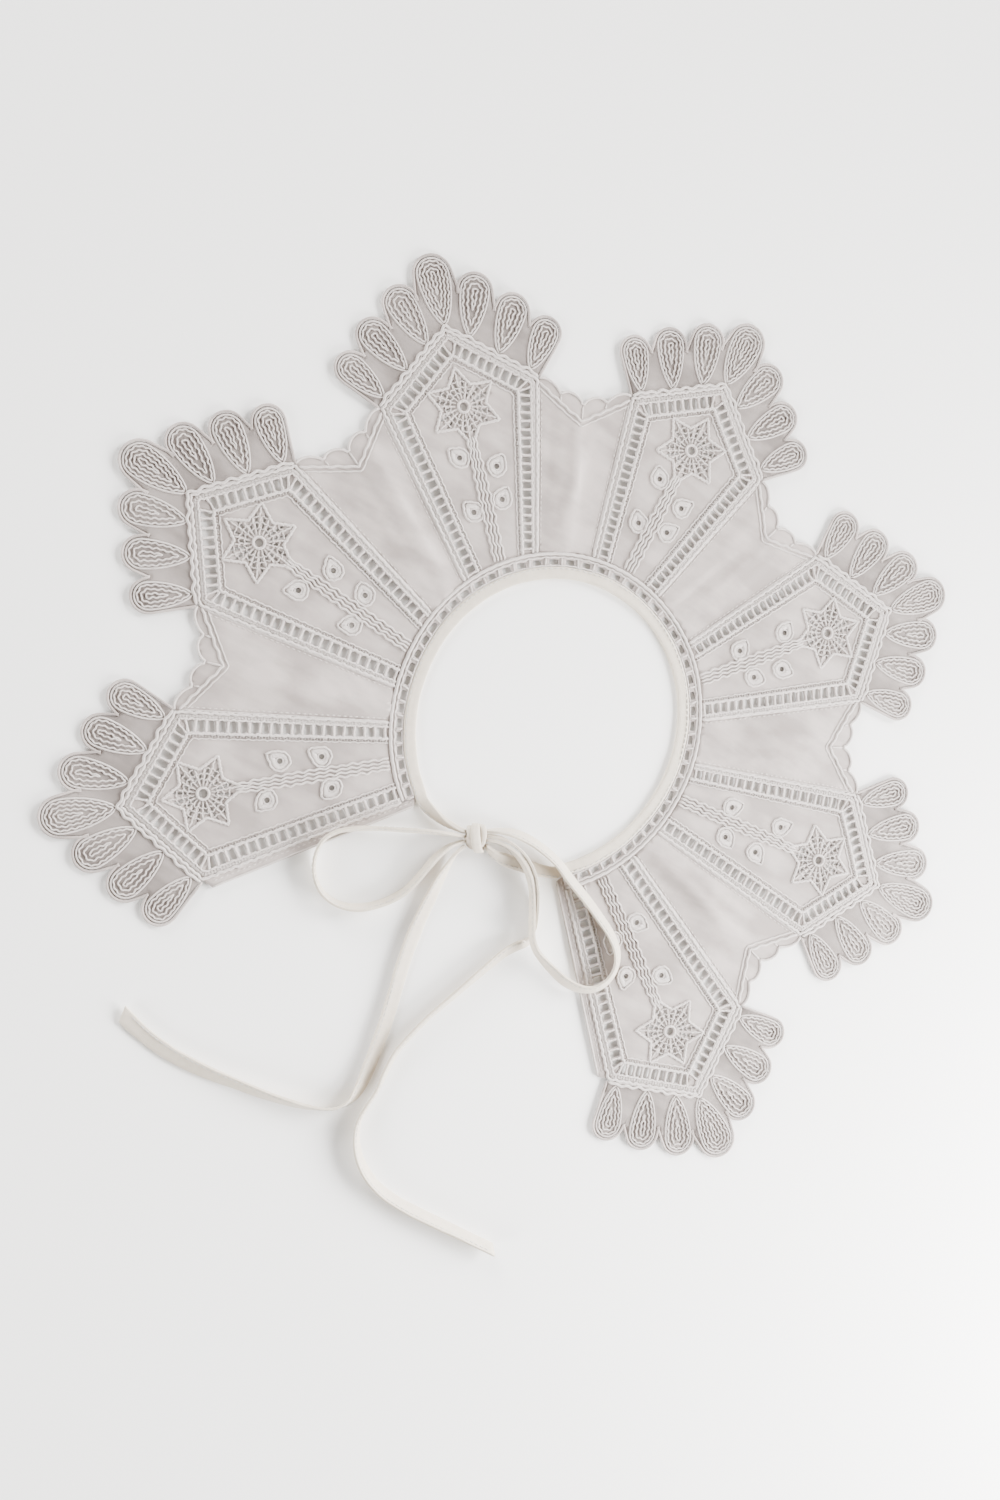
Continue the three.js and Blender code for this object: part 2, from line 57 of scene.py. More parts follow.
# ------------------------------------------------------------------ camera and light
def look_from(place, right, down, forward, lens):
    camera = bpy.data.objects.new("camera", bpy.data.cameras.new("camera"))
    bpy.context.scene.collection.objects.link(camera)
    turn = Matrix((right, [-value for value in down], [-value for value in forward])).transposed()
    camera.matrix_world = Matrix.Translation(place) @ turn.to_4x4()
    camera.data.sensor_fit = "AUTO"
    camera.data.sensor_width = 36.0
    camera.data.lens = lens
    camera.data.clip_start = 0.01
    bpy.context.scene.camera = camera


look_from(
    place=Vector((-0.1529, -0.0639, 0.5478)) + Vector(FAN_CENTRE),
    right=(0.84872, 0.46134, 0.25854),
    down=(0.46863, -0.88264, 0.03662),
    forward=(0.24509, 0.09008, -0.96531),
    lens=31.59,
)


# ------------------------------------------------------------------ finishes
WEAVE, RIB = 0.34, 0.32                   # spacing of the lawn's threads and of the tape's ribs


class Shade:
    """One output of a finish's nodes. Sums and products of it add their Math nodes."""

    def __init__(self, finish, socket):
        self.finish, self.socket = finish, socket

    def _maths(self, operation, first, second):
        return self.finish.add("ShaderNodeMath", {"operation": operation}, {0: first, 1: second})

    def __add__(self, other):
        return self._maths("ADD", self, other)

    def __sub__(self, other):
        return self._maths("SUBTRACT", self, other)

    def __rsub__(self, other):
        return self._maths("SUBTRACT", other, self)

    def __mul__(self, other):
        return self._maths("MULTIPLY", self, other)

    __radd__, __rmul__ = __add__, __mul__

    def sine(self):
        return self._maths("SINE", self, 0.0)

    def size(self):
        return self._maths("ABSOLUTE", self, 0.0)


class Finish:
    """A material made of one Principled shader and the nodes that vary it."""

    def __init__(self, name, **uniform):
        self.material = bpy.data.materials.new(name)
        self.material.use_nodes = True
        self.nodes = self.material.node_tree.nodes
        self.links = self.material.node_tree.links
        self.shader = self.nodes["Principled BSDF"]
        for socket, value in uniform.items():
            self.shader.inputs[socket.replace("_", " ")].default_value = value

    def add(self, kind, settings=None, sockets=None, output=0):
        node = self.nodes.new(kind)
        for setting, value in (settings or {}).items():
            setattr(node, setting, value)
        for socket, value in (sockets or {}).items():
            self.feed(node.inputs[socket], value)
        return Shade(self, node.outputs[output])

    def feed(self, socket, value):
        if isinstance(value, Shade):
            self.links.new(value.socket, socket)
        else:
            socket.default_value = value

    def vary(self, **sockets):
        for socket, value in sockets.items():
            self.feed(self.shader.inputs[socket.replace("_", " ")], value)

    def millimetres(self):
        """Place on the surface, in millimetres."""
        place = self.add("ShaderNodeTexCoord", output="Object")
        return self.add("ShaderNodeVectorMath", {"operation": "SCALE"}, {0: place, "Scale": 1000.0})

    def noise(self, place, scale, detail=2.0):
        sockets = {"Vector": place, "Scale": scale, "Detail": detail}
        return self.add("ShaderNodeTexNoise", {}, sockets)

    def axes(self, place):
        node = self.add("ShaderNodeSeparateXYZ", {}, {0: place}).socket.node
        return [Shade(self, node.outputs[axis]) for axis in range(3)]

    def blend(self, share, dark, light):
        sockets = {0: share, 6: dark, 7: light}
        return self.add("ShaderNodeMix", {"data_type": "RGBA"}, sockets, output=2)

    def raise_by(self, height, strength, distance=0.0003):
        bump = self.add("ShaderNodeBump", {}, {
            "Height": height, "Strength": strength, "Distance": distance})
        self.vary(Normal=bump)


def cloth_finish(name, dark, light, thread, depth, roughness, sheen):
    """Plain weave: two sets of threads cross at a spacing, over clouds of tone and painted shade,
    and painted fold streaks.
    """
    finish = Finish(name, Sheen_Weight=sheen, Sheen_Roughness=0.5, Specular_IOR_Level=0.3)
    place = finish.millimetres()
    across, along, _ = finish.axes(place)
    spin = 2 * math.pi / thread
    weave = (across * spin).sine() * (along * spin).sine()
    # Large clouds: partly the sheer cloth's uneven tone, partly painted shade of folds and of where
    # the cloth lies on the table.
    tone_and_shade_clouds = finish.noise(place, scale=0.045, detail=4.0)
    slubs = finish.noise(place, scale=1.1)
    # Streaks drawn out one way: painted light and shade along the cloth's folds.
    drawn_out = finish.add(
        "ShaderNodeVectorMath", {"operation": "MULTIPLY"}, {0: place, 1: (0.35, 1.5, 1.0)})
    fold_shading_streaks = finish.noise(drawn_out, scale=0.085, detail=3.0)
    tone = (tone_and_shade_clouds - 0.5) * 3.0 + (fold_shading_streaks - 0.5) * 2.4 + slubs * 0.2 + weave * 0.06 + 0.4
    finish.vary(
        Base_Color=finish.blend(tone, dark, light),
        Roughness=roughness + slubs * 0.1)
    finish.raise_by(weave * 0.5 + slubs * 0.7, depth)
    return finish.material


def thread_finish(name, dark, light, twist, depth, roughness, sheen):
    """Stitches side by side along a cord: the run of each cord is kept with its mesh."""
    finish = Finish(name, Sheen_Weight=sheen, Sheen_Roughness=0.4, Specular_IOR_Level=0.4)
    run = finish.add("ShaderNodeAttribute", {"attribute_name": "run"}, output="Vector")
    along, around, _ = finish.axes(run)
    place = finish.millimetres()
    fray = finish.noise(place, scale=1.6, detail=3.0)
    stitch = ((along + around * 0.35 + fray * 0.25) * (math.pi / twist)).sine().size()
    finish.vary(
        Base_Color=finish.blend(stitch * 0.45 + fray * 0.5, dark, light),
        Roughness=roughness + fray * 0.12)
    finish.raise_by(stitch + fray * 0.6, depth)
    return finish.material


def tape_finish(name, dark, light):
    """Soft bias tape: fine slanting ribs that follow the tape, and a faint crumple."""
    finish = Finish(name, Sheen_Weight=0.25, Sheen_Roughness=0.35, Specular_IOR_Level=0.45)
    run = finish.add("ShaderNodeAttribute", {"attribute_name": "run"}, output="Vector")
    along, around, _ = finish.axes(run)
    place = finish.millimetres()
    crumple = finish.noise(place, scale=0.35, detail=3.0)
    spin = math.pi / RIB
    ribs = ((along + around) * spin).sine() * ((along - around) * spin).sine()
    finish.vary(
        Base_Color=finish.blend(crumple * 0.8 + ribs * 0.08, dark, light),
        Roughness=0.46 + crumple * 0.16)
    finish.raise_by(ribs * 0.35 + crumple * 1.4, 0.35)
    return finish.material


def tint(red, green, blue):
    return (red, green, blue, 1.0)


LAWN = cloth_finish(
    "cotton lawn", tint(0.325, 0.28, 0.26), tint(0.485, 0.423, 0.395),
    thread=WEAVE, depth=0.25, roughness=0.72, sheen=0.12)
PANEL_LAWN = cloth_finish(
    "embroidered lawn", tint(0.315, 0.272, 0.252), tint(0.46, 0.402, 0.376),
    thread=WEAVE, depth=0.25, roughness=0.74, sheen=0.1)
# Painted shade: the petals' lawn is coloured much darker than the other lawn, for the shade among
# and between the petals.
PETAL_LAWN = cloth_finish(
    "petal lawn with painted shade", tint(0.198, 0.169, 0.155), tint(0.315, 0.275, 0.255),
    thread=WEAVE, depth=0.3, roughness=0.76, sheen=0.1)
THREAD = thread_finish(
    "embroidery cotton", tint(0.41, 0.363, 0.34), tint(0.70, 0.64, 0.605),
    twist=0.42, depth=0.55, roughness=0.55, sheen=0.15)
TAPE = tape_finish("bias tape", tint(0.56, 0.49, 0.395), tint(0.74, 0.662, 0.553))
# A darker, warmer copy of the tape for the gathered tape inside the knot: painted shade in the gaps
# between the knot's turns.
FOLD_SHADE = tape_finish("painted shade of the knot's folds", tint(0.50, 0.425, 0.345), tint(0.64, 0.56, 0.475))
SEWING = thread_finish(
    "sewing cotton", tint(0.40, 0.38, 0.35), tint(0.55, 0.53, 0.50),
    twist=0.3, depth=0.3, roughness=0.5, sheen=0.1)


# ------------------------------------------------------------------ making meshes
class Piece:
    """Vertices, faces and stitch runs of one piece, gathered in millimetres."""

    def __init__(self):
        self.points, self.faces, self.runs, self.count = [], [], [], 0

    def put(self, points, faces, runs=None):
        points = np.asarray(points, float)
        self.points.append(points)
        self.runs.append(np.zeros((len(points), 3)) if runs is None else np.asarray(runs, float))
        self.faces.extend([[corner + self.count for corner in face] for face in faces])
        self.count += len(points)

    def make(self, name, finish, slot, *nodes):
        mesh = bpy.data.meshes.new(name)
        points = np.concatenate(self.points) * MM + FAN_CENTRE
        mesh.from_pydata(points.tolist(), [], self.faces)
        mesh.materials.append(finish)
        mesh.polygons.foreach_set("use_smooth", [True] * len(mesh.polygons))
        run = mesh.attributes.new("run", "FLOAT_VECTOR", "POINT")
        run.data.foreach_set("vector", np.concatenate(self.runs).ravel())
        mesh.validate()
        made = bpy.data.objects.new(name, mesh)
        bpy.context.scene.collection.objects.link(made)
        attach(made, "root")
        if nodes:
            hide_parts(*nodes)
        return made


def lengths_along(line):
    steps = np.linalg.norm(np.diff(line, axis=0), axis=1)
    return np.concatenate([[0.0], np.cumsum(steps)])


def even(line, step, closed=False):
    """The same line with its points an even step apart."""
    line = np.asarray(line, float)
    if closed:
        line = np.vstack([line, line[:1]])
    run = lengths_along(line)
    count = max(2, int(round(run[-1] / step)) + 1)
    marks = np.linspace(0, run[-1], count)
    spread = np.stack([np.interp(marks, run, line[:, axis]) for axis in range(line.shape[1])], 1)
    return spread[:-1] if closed else spread


def cut_corners(line, share=0.25, passes=2):
    """A closed outline with its corners rounded."""
    line = np.asarray(line, float)
    for _ in range(passes):
        ahead = np.roll(line, -1, 0)
        line = np.stack([line + share * (ahead - line), ahead + share * (line - ahead)], 1)
        line = line.reshape(-1, 2)
    return line


def headings(line, closed):
    if closed:
        step = np.roll(line, -1, 0) - np.roll(line, 1, 0)
    else:
        step = np.gradient(line, axis=0)
    return step / np.maximum(np.linalg.norm(step, axis=1, keepdims=True), 1e-9)


def sideways(line, closed=False):
    ahead = headings(line, closed)
    return np.stack([ahead[:, 1], -ahead[:, 0]], 1)


def wavy(line, swing, period, step=0.85, closed=False, start=None):
    """A line that wanders from side to side as a couched cord does."""
    line = even(line, step, closed)
    run = np.arange(len(line)) * step
    start = chance.uniform(0, 2 * math.pi, 2) if start is None else (start, 2.1 * start)
    sway = np.sin(run * 2 * math.pi / period + start[0])
    sway += 0.45 * np.sin(run * 2 * math.pi / (period * 1.73) + start[1])
    if not closed:
        sway *= np.minimum(1, np.minimum(run, run[::-1]) / period)
    return line + sideways(line, closed) * (swing * sway)[:, None]


def rings_joined(rings, around, closed):
    """Quads between rings of points, with end faces unless the rings close on themselves."""
    faces = []
    for ring in range(rings if closed else rings - 1):
        after = (ring + 1) % rings
        for side in range(around):
            beside = (side + 1) % around
            faces.append([
                ring * around + side, ring * around + beside,
                after * around + beside, after * around + side])
    if not closed:
        faces.append(list(range(around - 1, -1, -1)))
        faces.append([(rings - 1) * around + side for side in range(around)])
    return faces


def swell(x, y):
    """How far the laid cloth rises and falls: a few long, uneven waves."""
    return (
        0.20 * np.sin(x / 11.3 + 1.3) * np.sin(y / 13.9 + 0.4)
        + 0.12 * np.sin((x + y) / 9.1 + 2.0)
        + 0.10 * np.sin((x - 1.7 * y) / 12.7))


CLOTH_TOP = 1.25
CLOTH_THICK = 0.45


def ground(line):
    """Height of the cloth's upper face at flat points."""
    return CLOTH_TOP + swell(line[:, 0], line[:, 1])


# A laid cord: how high its middle lies above the cloth, as a share of its height, and how
# broad its cut ends are, as a share of its breadth.
CORD_MIDDLE, CORD_END = 0.18, 0.45


def lay_cord(
        piece, line, width, height=None, closed=False, sides=6, lift=0.0, over=ground, pinch=0.0,
        widen=0.0):
    """A rounded cord along a flat line, perhaps pinched in its middle or widening to its end."""
    line = np.asarray(line, float)
    height = 0.8 * width if height is None else height
    run = lengths_along(line)
    half = np.full(len(line), width / 2)
    if not closed:
        ends = np.minimum(run, run[-1] - run)
        half *= np.clip(CORD_END + ends / max(width, 0.5), 0, 1)
        share = run / run[-1]
        half *= 1 + pinch * (np.abs(2 * share - 1) ** 2 - 0.5) + widen * (share - 0.5)
    turn = (np.arange(sides) + 0.5) * 2 * math.pi / sides
    side = sideways(line, closed)
    flat = line[:, None, :] + side[:, None, :] * (half[:, None] * np.cos(turn))[..., None]
    crown = height * (CORD_MIDDLE + 0.5 * np.sin(turn)) * (half / half.max())[:, None]
    rise = over(line)[:, None] + lift + crown
    points = np.concatenate([flat, rise[..., None]], 2).reshape(-1, 3)
    along = np.repeat(run, sides)
    around = np.tile(turn * width / 2, len(line))
    runs = np.stack([along, around, 0 * along], 1)
    piece.put(points, rings_joined(len(line), sides, closed), runs)


def couch(lay, line, cord, closed=False, start=None, **more):
    """Lay a wavy cord, with the wave and the size that its row of a table gives."""
    lay(
        wavy(line, *cord["wave"], closed, start), cord["width"], height=cord["height"],
        sides=cord["sides"], closed=closed, **more)


def stitch_row(piece, line, length, gap, width, over=ground):
    """A row of separate short stitches."""
    line = even(line, (length + gap) / 4)
    run = lengths_along(line)
    mark = gap / 2
    while mark + length < run[-1]:
        marks = np.linspace(mark, mark + length, 4)
        dash = np.stack([np.interp(marks, run, line[:, axis]) for axis in range(2)], 1)
        lay_cord(piece, dash, width, sides=5, over=over)
        mark += length + gap


def ticks_across(piece, line, reach, pitch):
    """Short stitches across a line, as along a satin border."""
    line = even(line, pitch)
    side = sideways(line)
    for spot, out in zip(line[1:-1], side[1:-1]):
        half = out * reach / 2 * chance.uniform(0.75, 1.15)
        slip = np.array([out[1], -out[0]]) * chance.uniform(-0.15, 0.15)
        tick = np.array([spot - half, spot + slip, spot + half])
        lay_cord(piece, tick, 0.5, height=0.55, sides=4, lift=0.3)


def turned(points, angle):
    """Flat points turned about the origin, anticlockwise."""
    return points @ np.array([
        [math.cos(angle), math.sin(angle)], [-math.sin(angle), math.cos(angle)]])


def inside(points, loops):
    """Which points lie inside an odd number of loops."""
    hits = np.zeros(len(points), int)
    for loop in loops:
        low, high = loop.min(0), loop.max(0)
        near = np.nonzero(np.all((points >= low) & (points <= high), axis=1))[0]
        if not len(near):
            continue
        x, y = points[near, 0][:, None], points[near, 1][:, None]
        a, b = loop, np.roll(loop, -1, 0)
        rises = (a[:, 1] > y) != (b[:, 1] > y)
        slope = np.where(b[:, 1] == a[:, 1], 1e-12, b[:, 1] - a[:, 1])
        meets = a[:, 0] + (y - a[:, 1]) / slope * (b[:, 0] - a[:, 0])
        hits[near] += (rises & (x < meets)).sum(1)
    return hits % 2 == 1


def spread_cloth(piece, outline, holes=(), step=3.2, over=ground):
    """A thin closed wall of cloth over a flat outline with holes, lying on its waves."""
    loops = [np.asarray(outline, float)] + [np.asarray(hole, float) for hole in holes]
    low, high = loops[0].min(0), loops[0].max(0)
    across, along = (np.arange(low[axis], high[axis], step) for axis in range(2))
    grid = np.stack(np.meshgrid(across, along), -1).reshape(-1, 2)
    grid[:, 0] += np.where((np.arange(len(grid)) // len(across)) % 2, step / 2, 0.0)
    grid = grid[inside(grid, loops)]
    edges, count = [], 0
    for loop in loops:
        size = len(loop)
        edges += [(count + corner, count + (corner + 1) % size) for corner in range(size)]
        count += size
    flat = np.concatenate(loops + [grid])
    corners = [Vector(point) for point in flat]
    corners, _, faces = delaunay_2d_cdt(corners, edges, [], 0, 1e-5, False)[:3]
    flat = np.array([tuple(point) for point in corners])
    faces = np.array([tuple(face) for face in faces])
    faces = faces[inside(flat[faces].mean(1), loops)]
    a, b, c = (flat[faces[:, corner]] for corner in range(3))
    turn = (b - a)[:, 0] * (c - a)[:, 1] - (b - a)[:, 1] * (c - a)[:, 0]
    faces[turn < 0] = faces[turn < 0][:, ::-1]
    rise = over(flat)
    top = np.concatenate([flat, rise[:, None]], 1)
    under = np.concatenate([flat, (rise - CLOTH_THICK)[:, None]], 1)
    count = len(flat)
    sides = np.concatenate([faces[:, [0, 1]], faces[:, [1, 2]], faces[:, [2, 0]]])
    known = {tuple(side) for side in sides.tolist()}
    walls = [[b, a, a + count, b + count] for a, b in known if (b, a) not in known]
    piece.put(
        np.concatenate([top, under]),
        faces.tolist() + (faces[:, ::-1] + count).tolist() + walls)


def cut_cloth(name, finish, slot, outline, holes=(), **more):
    """A piece of cloth that takes the place of the solid of its name."""
    cloth = Piece()
    spread_cloth(cloth, outline, holes, **more)
    return cloth.make(f"{name}_cloth", finish, slot, name)


def flat_area(outline, holes=()):
    """Area in square metres of a flat outline less its holes."""
    def shoelace(loop):
        x, y = np.asarray(loop, float).T
        return abs(np.dot(x, np.roll(y, -1)) - np.dot(y, np.roll(x, -1))) / 2
    return (shoelace(outline) - sum(shoelace(hole) for hole in holes)) * MM * MM


# ------------------------------------------------------------------ ties
TAPE_WIDTH, TAPE_THICK = 6.5, 1.2
# Rows of a tie's route: x, y, height of its lowest edge, lean of its width up from flat in
# degrees (right-hand edge raised) and width, which is gathered at the knot.
LEAD_RIGHT = [
    (-11.95, -51.04, 2.4, 85, 3.6), (-16.5, -51.3, 2.2, 78, 4.2), (-22.5, -51.2, 1.4, 62, 4.8),
    (-29.0, -49.9, 0.6, 34, 5.2), (-33.6, -47.9, 0.1, 8, 5.2)]
LEAD_LEFT = [
    (33.4, -48.1, 0.1, -8, 5.2), (28.0, -50.2, 0.2, -8, 5.5), (21.5, -51.7, 0.3, 0, 5.8),
    (14.5, -52.9, 0.4, 8, 5.8), (8.5, -53.6, 0.9, 32, 5.4), (3.5, -53.3, 1.8, 66, 4.4),
    (-1.05, -51.96, 2.4, 85, 3.6)]
LOOP_RIGHT = [
    (-11.28, -52.96, 2.4, 85, 3.6), (-16.5, -54.7, 2.4, 80, 4.8), (-23.5, -57.2, 2.0, 74, 6.2),
    (-31.0, -60.3, 1.8, 74, 6.5), (-39.5, -64.0, 1.7, 75, 6.5), (-47.5, -67.6, 1.7, 75, 6.5),
    (-55.0, -71.6, 1.7, 75, 6.5), (-60.5, -75.8, 1.7, 75, 6.5), (-63.8, -80.8, 1.7, 75, 6.5),
    (-64.2, -86.5, 1.5, 75, 6.5), (-62.4, -92.3, 0.7, 75, 6.5), (-59.2, -97.0, 0.2, 75, 6.5),
    (-54.6, -100.6, 0.1, 75, 6.5), (-48.8, -102.2, 0.1, 74, 6.5), (-42.5, -101.8, 0.1, 74, 6.5),
    (-36.2, -99.2, 0.1, 74, 6.5), (-30.6, -94.9, 0.1, 75, 6.5), (-26.0, -89.8, 0.1, 76, 6.5),
    (-22.7, -84.4, 0.2, 77, 6.5), (-20.6, -77.5, 0.4, 78, 6.5), (-19.2, -71.0, 0.8, 80, 6.5),
    (-17.6, -65.0, 1.3, 80, 6.0), (-14.8, -59.3, 2.0, 83, 4.8), (-10.34, -54.72, 2.4, 85, 3.6)]
LOOP_LEFT = [
    (-3.86, -46.66, 2.4, 85, 3.6), (1.0, -44.0, 2.6, 75, 5.0), (6.5, -42.0, 2.6, 62, 6.3),
    (13.5, -41.2, 2.6, 55, 6.5), (21.5, -41.8, 2.6, 52, 6.5), (31.0, -44.0, 2.5, 50, 6.5),
    (39.5, -47.8, 2.4, 50, 6.5), (50.0, -52.0, 2.0, 48, 6.5), (60.0, -56.5, 1.7, 48, 6.5),
    (68.5, -61.0, 1.7, 50, 6.5), (74.8, -66.5, 1.7, 52, 6.5), (77.6, -73.0, 1.7, 55, 6.5),
    (77.0, -79.5, 1.7, 55, 6.5), (73.5, -85.0, 1.7, 55, 6.5), (67.5, -88.0, 1.7, 55, 6.5),
    (59.5, -88.3, 1.7, 55, 6.5), (51.5, -86.3, 1.8, 60, 6.5), (44.5, -83.9, 2.8, 70, 6.5),
    (39.2, -81.4, 4.5, 80, 6.2), (35.6, -78.0, 5.0, 85, 6.0), (33.4, -73.4, 3.4, 85, 6.0),
    (30.8, -67.2, 1.4, 85, 6.0), (26.5, -60.3, 2.4, 85, 6.0), (20.8, -54.2, 3.6, 85, 6.0),
    (13.5, -49.8, 3.6, 85, 6.0), (6.5, -48.4, 3.2, 85, 5.4), (2.0, -48.7, 2.8, 85, 4.4),
    (-1.72, -50.04, 2.4, 85, 3.6)]
TAIL_RIGHT = [
    (-9.13, -56.34, 2.4, 85, 3.6), (-10.8, -60.5, 1.8, 75, 4.8), (-11.6, -66.5, 1.0, 60, 6.0),
    (-11.7, -74.0, 0.4, 42, 6.5), (-11.3, -83.0, 0.1, 28, 6.5), (-10.6, -97.0, 0.1, 20, 6.5),
    (-8.8, -111.0, 0.1, 18, 6.5), (-5.9, -125.0, 0.1, 18, 6.5), (-3.4, -138.0, 0.1, 20, 6.5),
    (-1.8, -150.0, 0.1, 20, 6.5), (-0.6, -161.0, 0.1, 26, 6.5), (-0.6, -168.5, 0.1, 40, 6.5),
    (-2.2, -174.2, 0.1, 62, 6.5), (-6.4, -178.8, 0.1, 74, 6.5), (-12.5, -181.6, 0.1, 70, 6.5),
    (-21.0, -183.6, 0.1, 62, 6.5), (-33.0, -185.3, 0.1, 52, 6.5), (-47.0, -186.3, 0.1, 42, 6.5),
    (-62.0, -187.0, 0.1, 30, 6.5), (-75.0, -186.6, 0.1, 22, 6.5), (-86.0, -185.0, 0.1, 16, 6.5),
    (-95.0, -182.6, 0.1, 14, 6.5), (-102.5, -180.0, 0.1, 12, 6.5)]
TAIL_LEFT = [
    (-2.66, -48.28, 2.4, 85, 3.6), (1.8, -46.6, 2.8, 85, 4.4), (7.0, -46.0, 3.2, 85, 5.4),
    (14.5, -47.4, 3.6, 85, 6.0), (22.3, -52.0, 3.6, 85, 6.0), (28.3, -58.6, 2.2, 85, 6.2),
    (32.8, -66.2, 0.5, 85, 6.2), (35.7, -73.0, 0.1, 85, 6.0), (36.9, -77.2, 0.1, 60, 4.5),
    (36.2, -80.9, 0.1, 25, 4.0), (33.2, -84.0, 0.1, 35, 5.5), (29.5, -88.6, 0.1, 45, 6.5),
    (25.5, -97.0, 0.1, 50, 6.5), (21.3, -106.5, 0.1, 55, 6.5), (16.5, -117.5, 0.1, 58, 6.5),
    (12.0, -128.0, 0.1, 60, 6.5), (8.7, -138.0, 0.1, 60, 6.5), (6.4, -147.0, 0.1, 60, 6.5),
    (6.1, -156.0, 0.1, 62, 6.5), (6.7, -164.0, 0.1, 66, 6.5), (5.9, -172.0, 0.1, 66, 6.5),
    (5.8, -179.5, 0.1, 64, 6.5), (8.6, -187.0, 0.1, 62, 6.5), (13.5, -193.3, 0.1, 60, 6.5),
    (20.3, -198.3, 0.1, 58, 6.5), (29.0, -201.9, 0.1, 56, 6.5), (42.0, -203.9, 0.1, 56, 6.5),
    (56.0, -204.5, 0.1, 58, 6.5), (72.0, -204.9, 0.1, 60, 6.5), (86.5, -205.3, 0.1, 60, 6.5)]

# Section of a folded tape, as shares of its width and thickness: a round fold on one edge,
# and on the other the two turned-in edges with a groove between them.
FOLDED = [
    (-0.50, 0.00), (-0.49, -0.30), (-0.45, -0.47), (-0.20, -0.44), (0.14, -0.45), (0.41, -0.50),
    (0.49, -0.38), (0.50, -0.14), (0.465, 0.00), (0.50, 0.14), (0.49, 0.38), (0.41, 0.50),
    (0.14, 0.45), (-0.20, 0.44), (-0.45, 0.47), (-0.49, 0.30)]
# Section of a machine stitch: to the side of its middle, and out from the tape's face.
STITCH = [(-0.2, -0.05), (-0.12, 0.14), (0.12, 0.14), (0.2, -0.05)]
Swept = namedtuple("Swept", "centre across through width run")


def smooth_route(stations, per_row):
    """Centripetal curve through the stations' centres, and each point's share between them."""
    ends = np.vstack([2 * stations[0] - stations[1], stations, 2 * stations[-1] - stations[-2]])
    points, rows = [], []
    for row in range(len(stations) - 1):
        a, b, c, d = ends[row:row + 4]
        before, span, after = (
            math.sqrt(np.linalg.norm(q - p)) for p, q in ((a, b), (b, c), (c, d)))
        start = ((b - a) / before - (c - a) / (before + span) + (c - b) / span) * span
        stop = ((c - b) / span - (d - b) / (span + after) + (d - c) / after) * span
        for part in np.arange(per_row) / per_row:
            points.append(
                b + start * part + (3 * (c - b) - 2 * start - stop) * part**2
                + (2 * (b - c) + start + stop) * part**3)
            rows.append(row + part)
    points.append(stations[-1])
    rows.append(len(stations) - 1)
    return np.array(points), np.array(rows)


def fold_tape(piece, route, thick, per_row=8, slant=0.0):
    """Sweep the folded tape along a route of rows, its end cut aslant by slant millimetres."""
    route = np.array(route, float)
    lean = np.radians(route[:, 3])
    rise = route[:, 4] / 2 * np.abs(np.sin(lean)) + thick / 2 * np.cos(lean)
    stations = np.column_stack([route[:, 0], route[:, 1], route[:, 2] + rise])
    centre, rows = smooth_route(stations, per_row)
    lean = np.interp(rows, np.arange(len(route)), lean)
    width = np.interp(rows, np.arange(len(route)), route[:, 4])
    run = lengths_along(centre)
    ahead = headings(centre, False)
    side = np.stack([ahead[:, 1], -ahead[:, 0], 0 * run], 1)
    side /= np.linalg.norm(side, axis=1, keepdims=True)
    up = np.cross(side, ahead)
    across = side * np.cos(lean)[:, None] + up * np.sin(lean)[:, None]
    through = up * np.cos(lean)[:, None] - side * np.sin(lean)[:, None]
    section = np.array(FOLDED)
    # The tape is a little uneven along its length, in thickness and in width.
    puff = 1 + 0.12 * np.sin(run / 7.3 + 0.8) + 0.08 * np.sin(run / 3.1)
    edge = 1 + 0.02 * np.sin(run / 5.7) + 0.015 * np.sin(run / 2.3 + 1.0)
    w = section[:, 0] * (width * edge)[:, None]
    t = section[:, 1] * (thick * puff)[:, None]
    shear = slant * section[:, 0] * np.clip(1 - (run[-1] - run) / 9, 0, 1)[:, None] ** 2
    points = (
        centre[:, None, :] + across[:, None, :] * w[..., None] + through[:, None, :] * t[..., None]
        + ahead[:, None, :] * shear[..., None])
    points[..., 2] = np.maximum(points[..., 2], 0.02)
    steps = (section - np.roll(section, 1, 0)).T * np.array([[TAPE_WIDTH], [TAPE_THICK]])
    along = np.repeat(run, len(section))
    around = np.tile(np.cumsum(np.hypot(*steps)), len(run))
    runs = np.stack([along, around, 0 * along], 1)
    piece.put(points.reshape(-1, 3), rings_joined(len(run), len(section), False), runs)
    return Swept(centre, across, through, width, run)


def sew_edge(piece, tape, thick, inset=1.1, stitch=1.7, gap=0.8, faces=(1, -1)):
    """Short machine stitches along the tape's open edge, on each of the faces."""
    def at(marks, line):
        return np.stack([np.interp(marks, tape.run, line[:, axis]) for axis in range(3)], 1)

    for face in faces:
        seam = (
            tape.centre + tape.across * (tape.width / 2 - inset)[:, None]
            + tape.through * (face * thick * 0.5))
        mark = 6.0
        while mark + stitch < tape.run[-1] - 3:
            marks = np.linspace(mark, mark + stitch, 3)
            dash, out = at(marks, seam), at(marks, tape.through) * face
            beside = at(marks, tape.across)
            points = np.concatenate([
                dash[:, None, :] + beside[:, None, :] * side + out[:, None, :] * rise
                for side, rise in STITCH], 1)
            piece.put(points.reshape(-1, 3), rings_joined(len(marks), len(STITCH), False))
            mark += stitch + gap


def tie(name, route, slant=0.0):
    tape = Piece()
    swept = fold_tape(tape, route, TAPE_THICK, slant=slant)
    made = tape.make(f"{name}_tape", TAPE, "tape", name)
    stitches = Piece()
    sew_edge(stitches, swept, TAPE_THICK)
    sewn = stitches.make(f"{name}_stitches", SEWING, "tape")


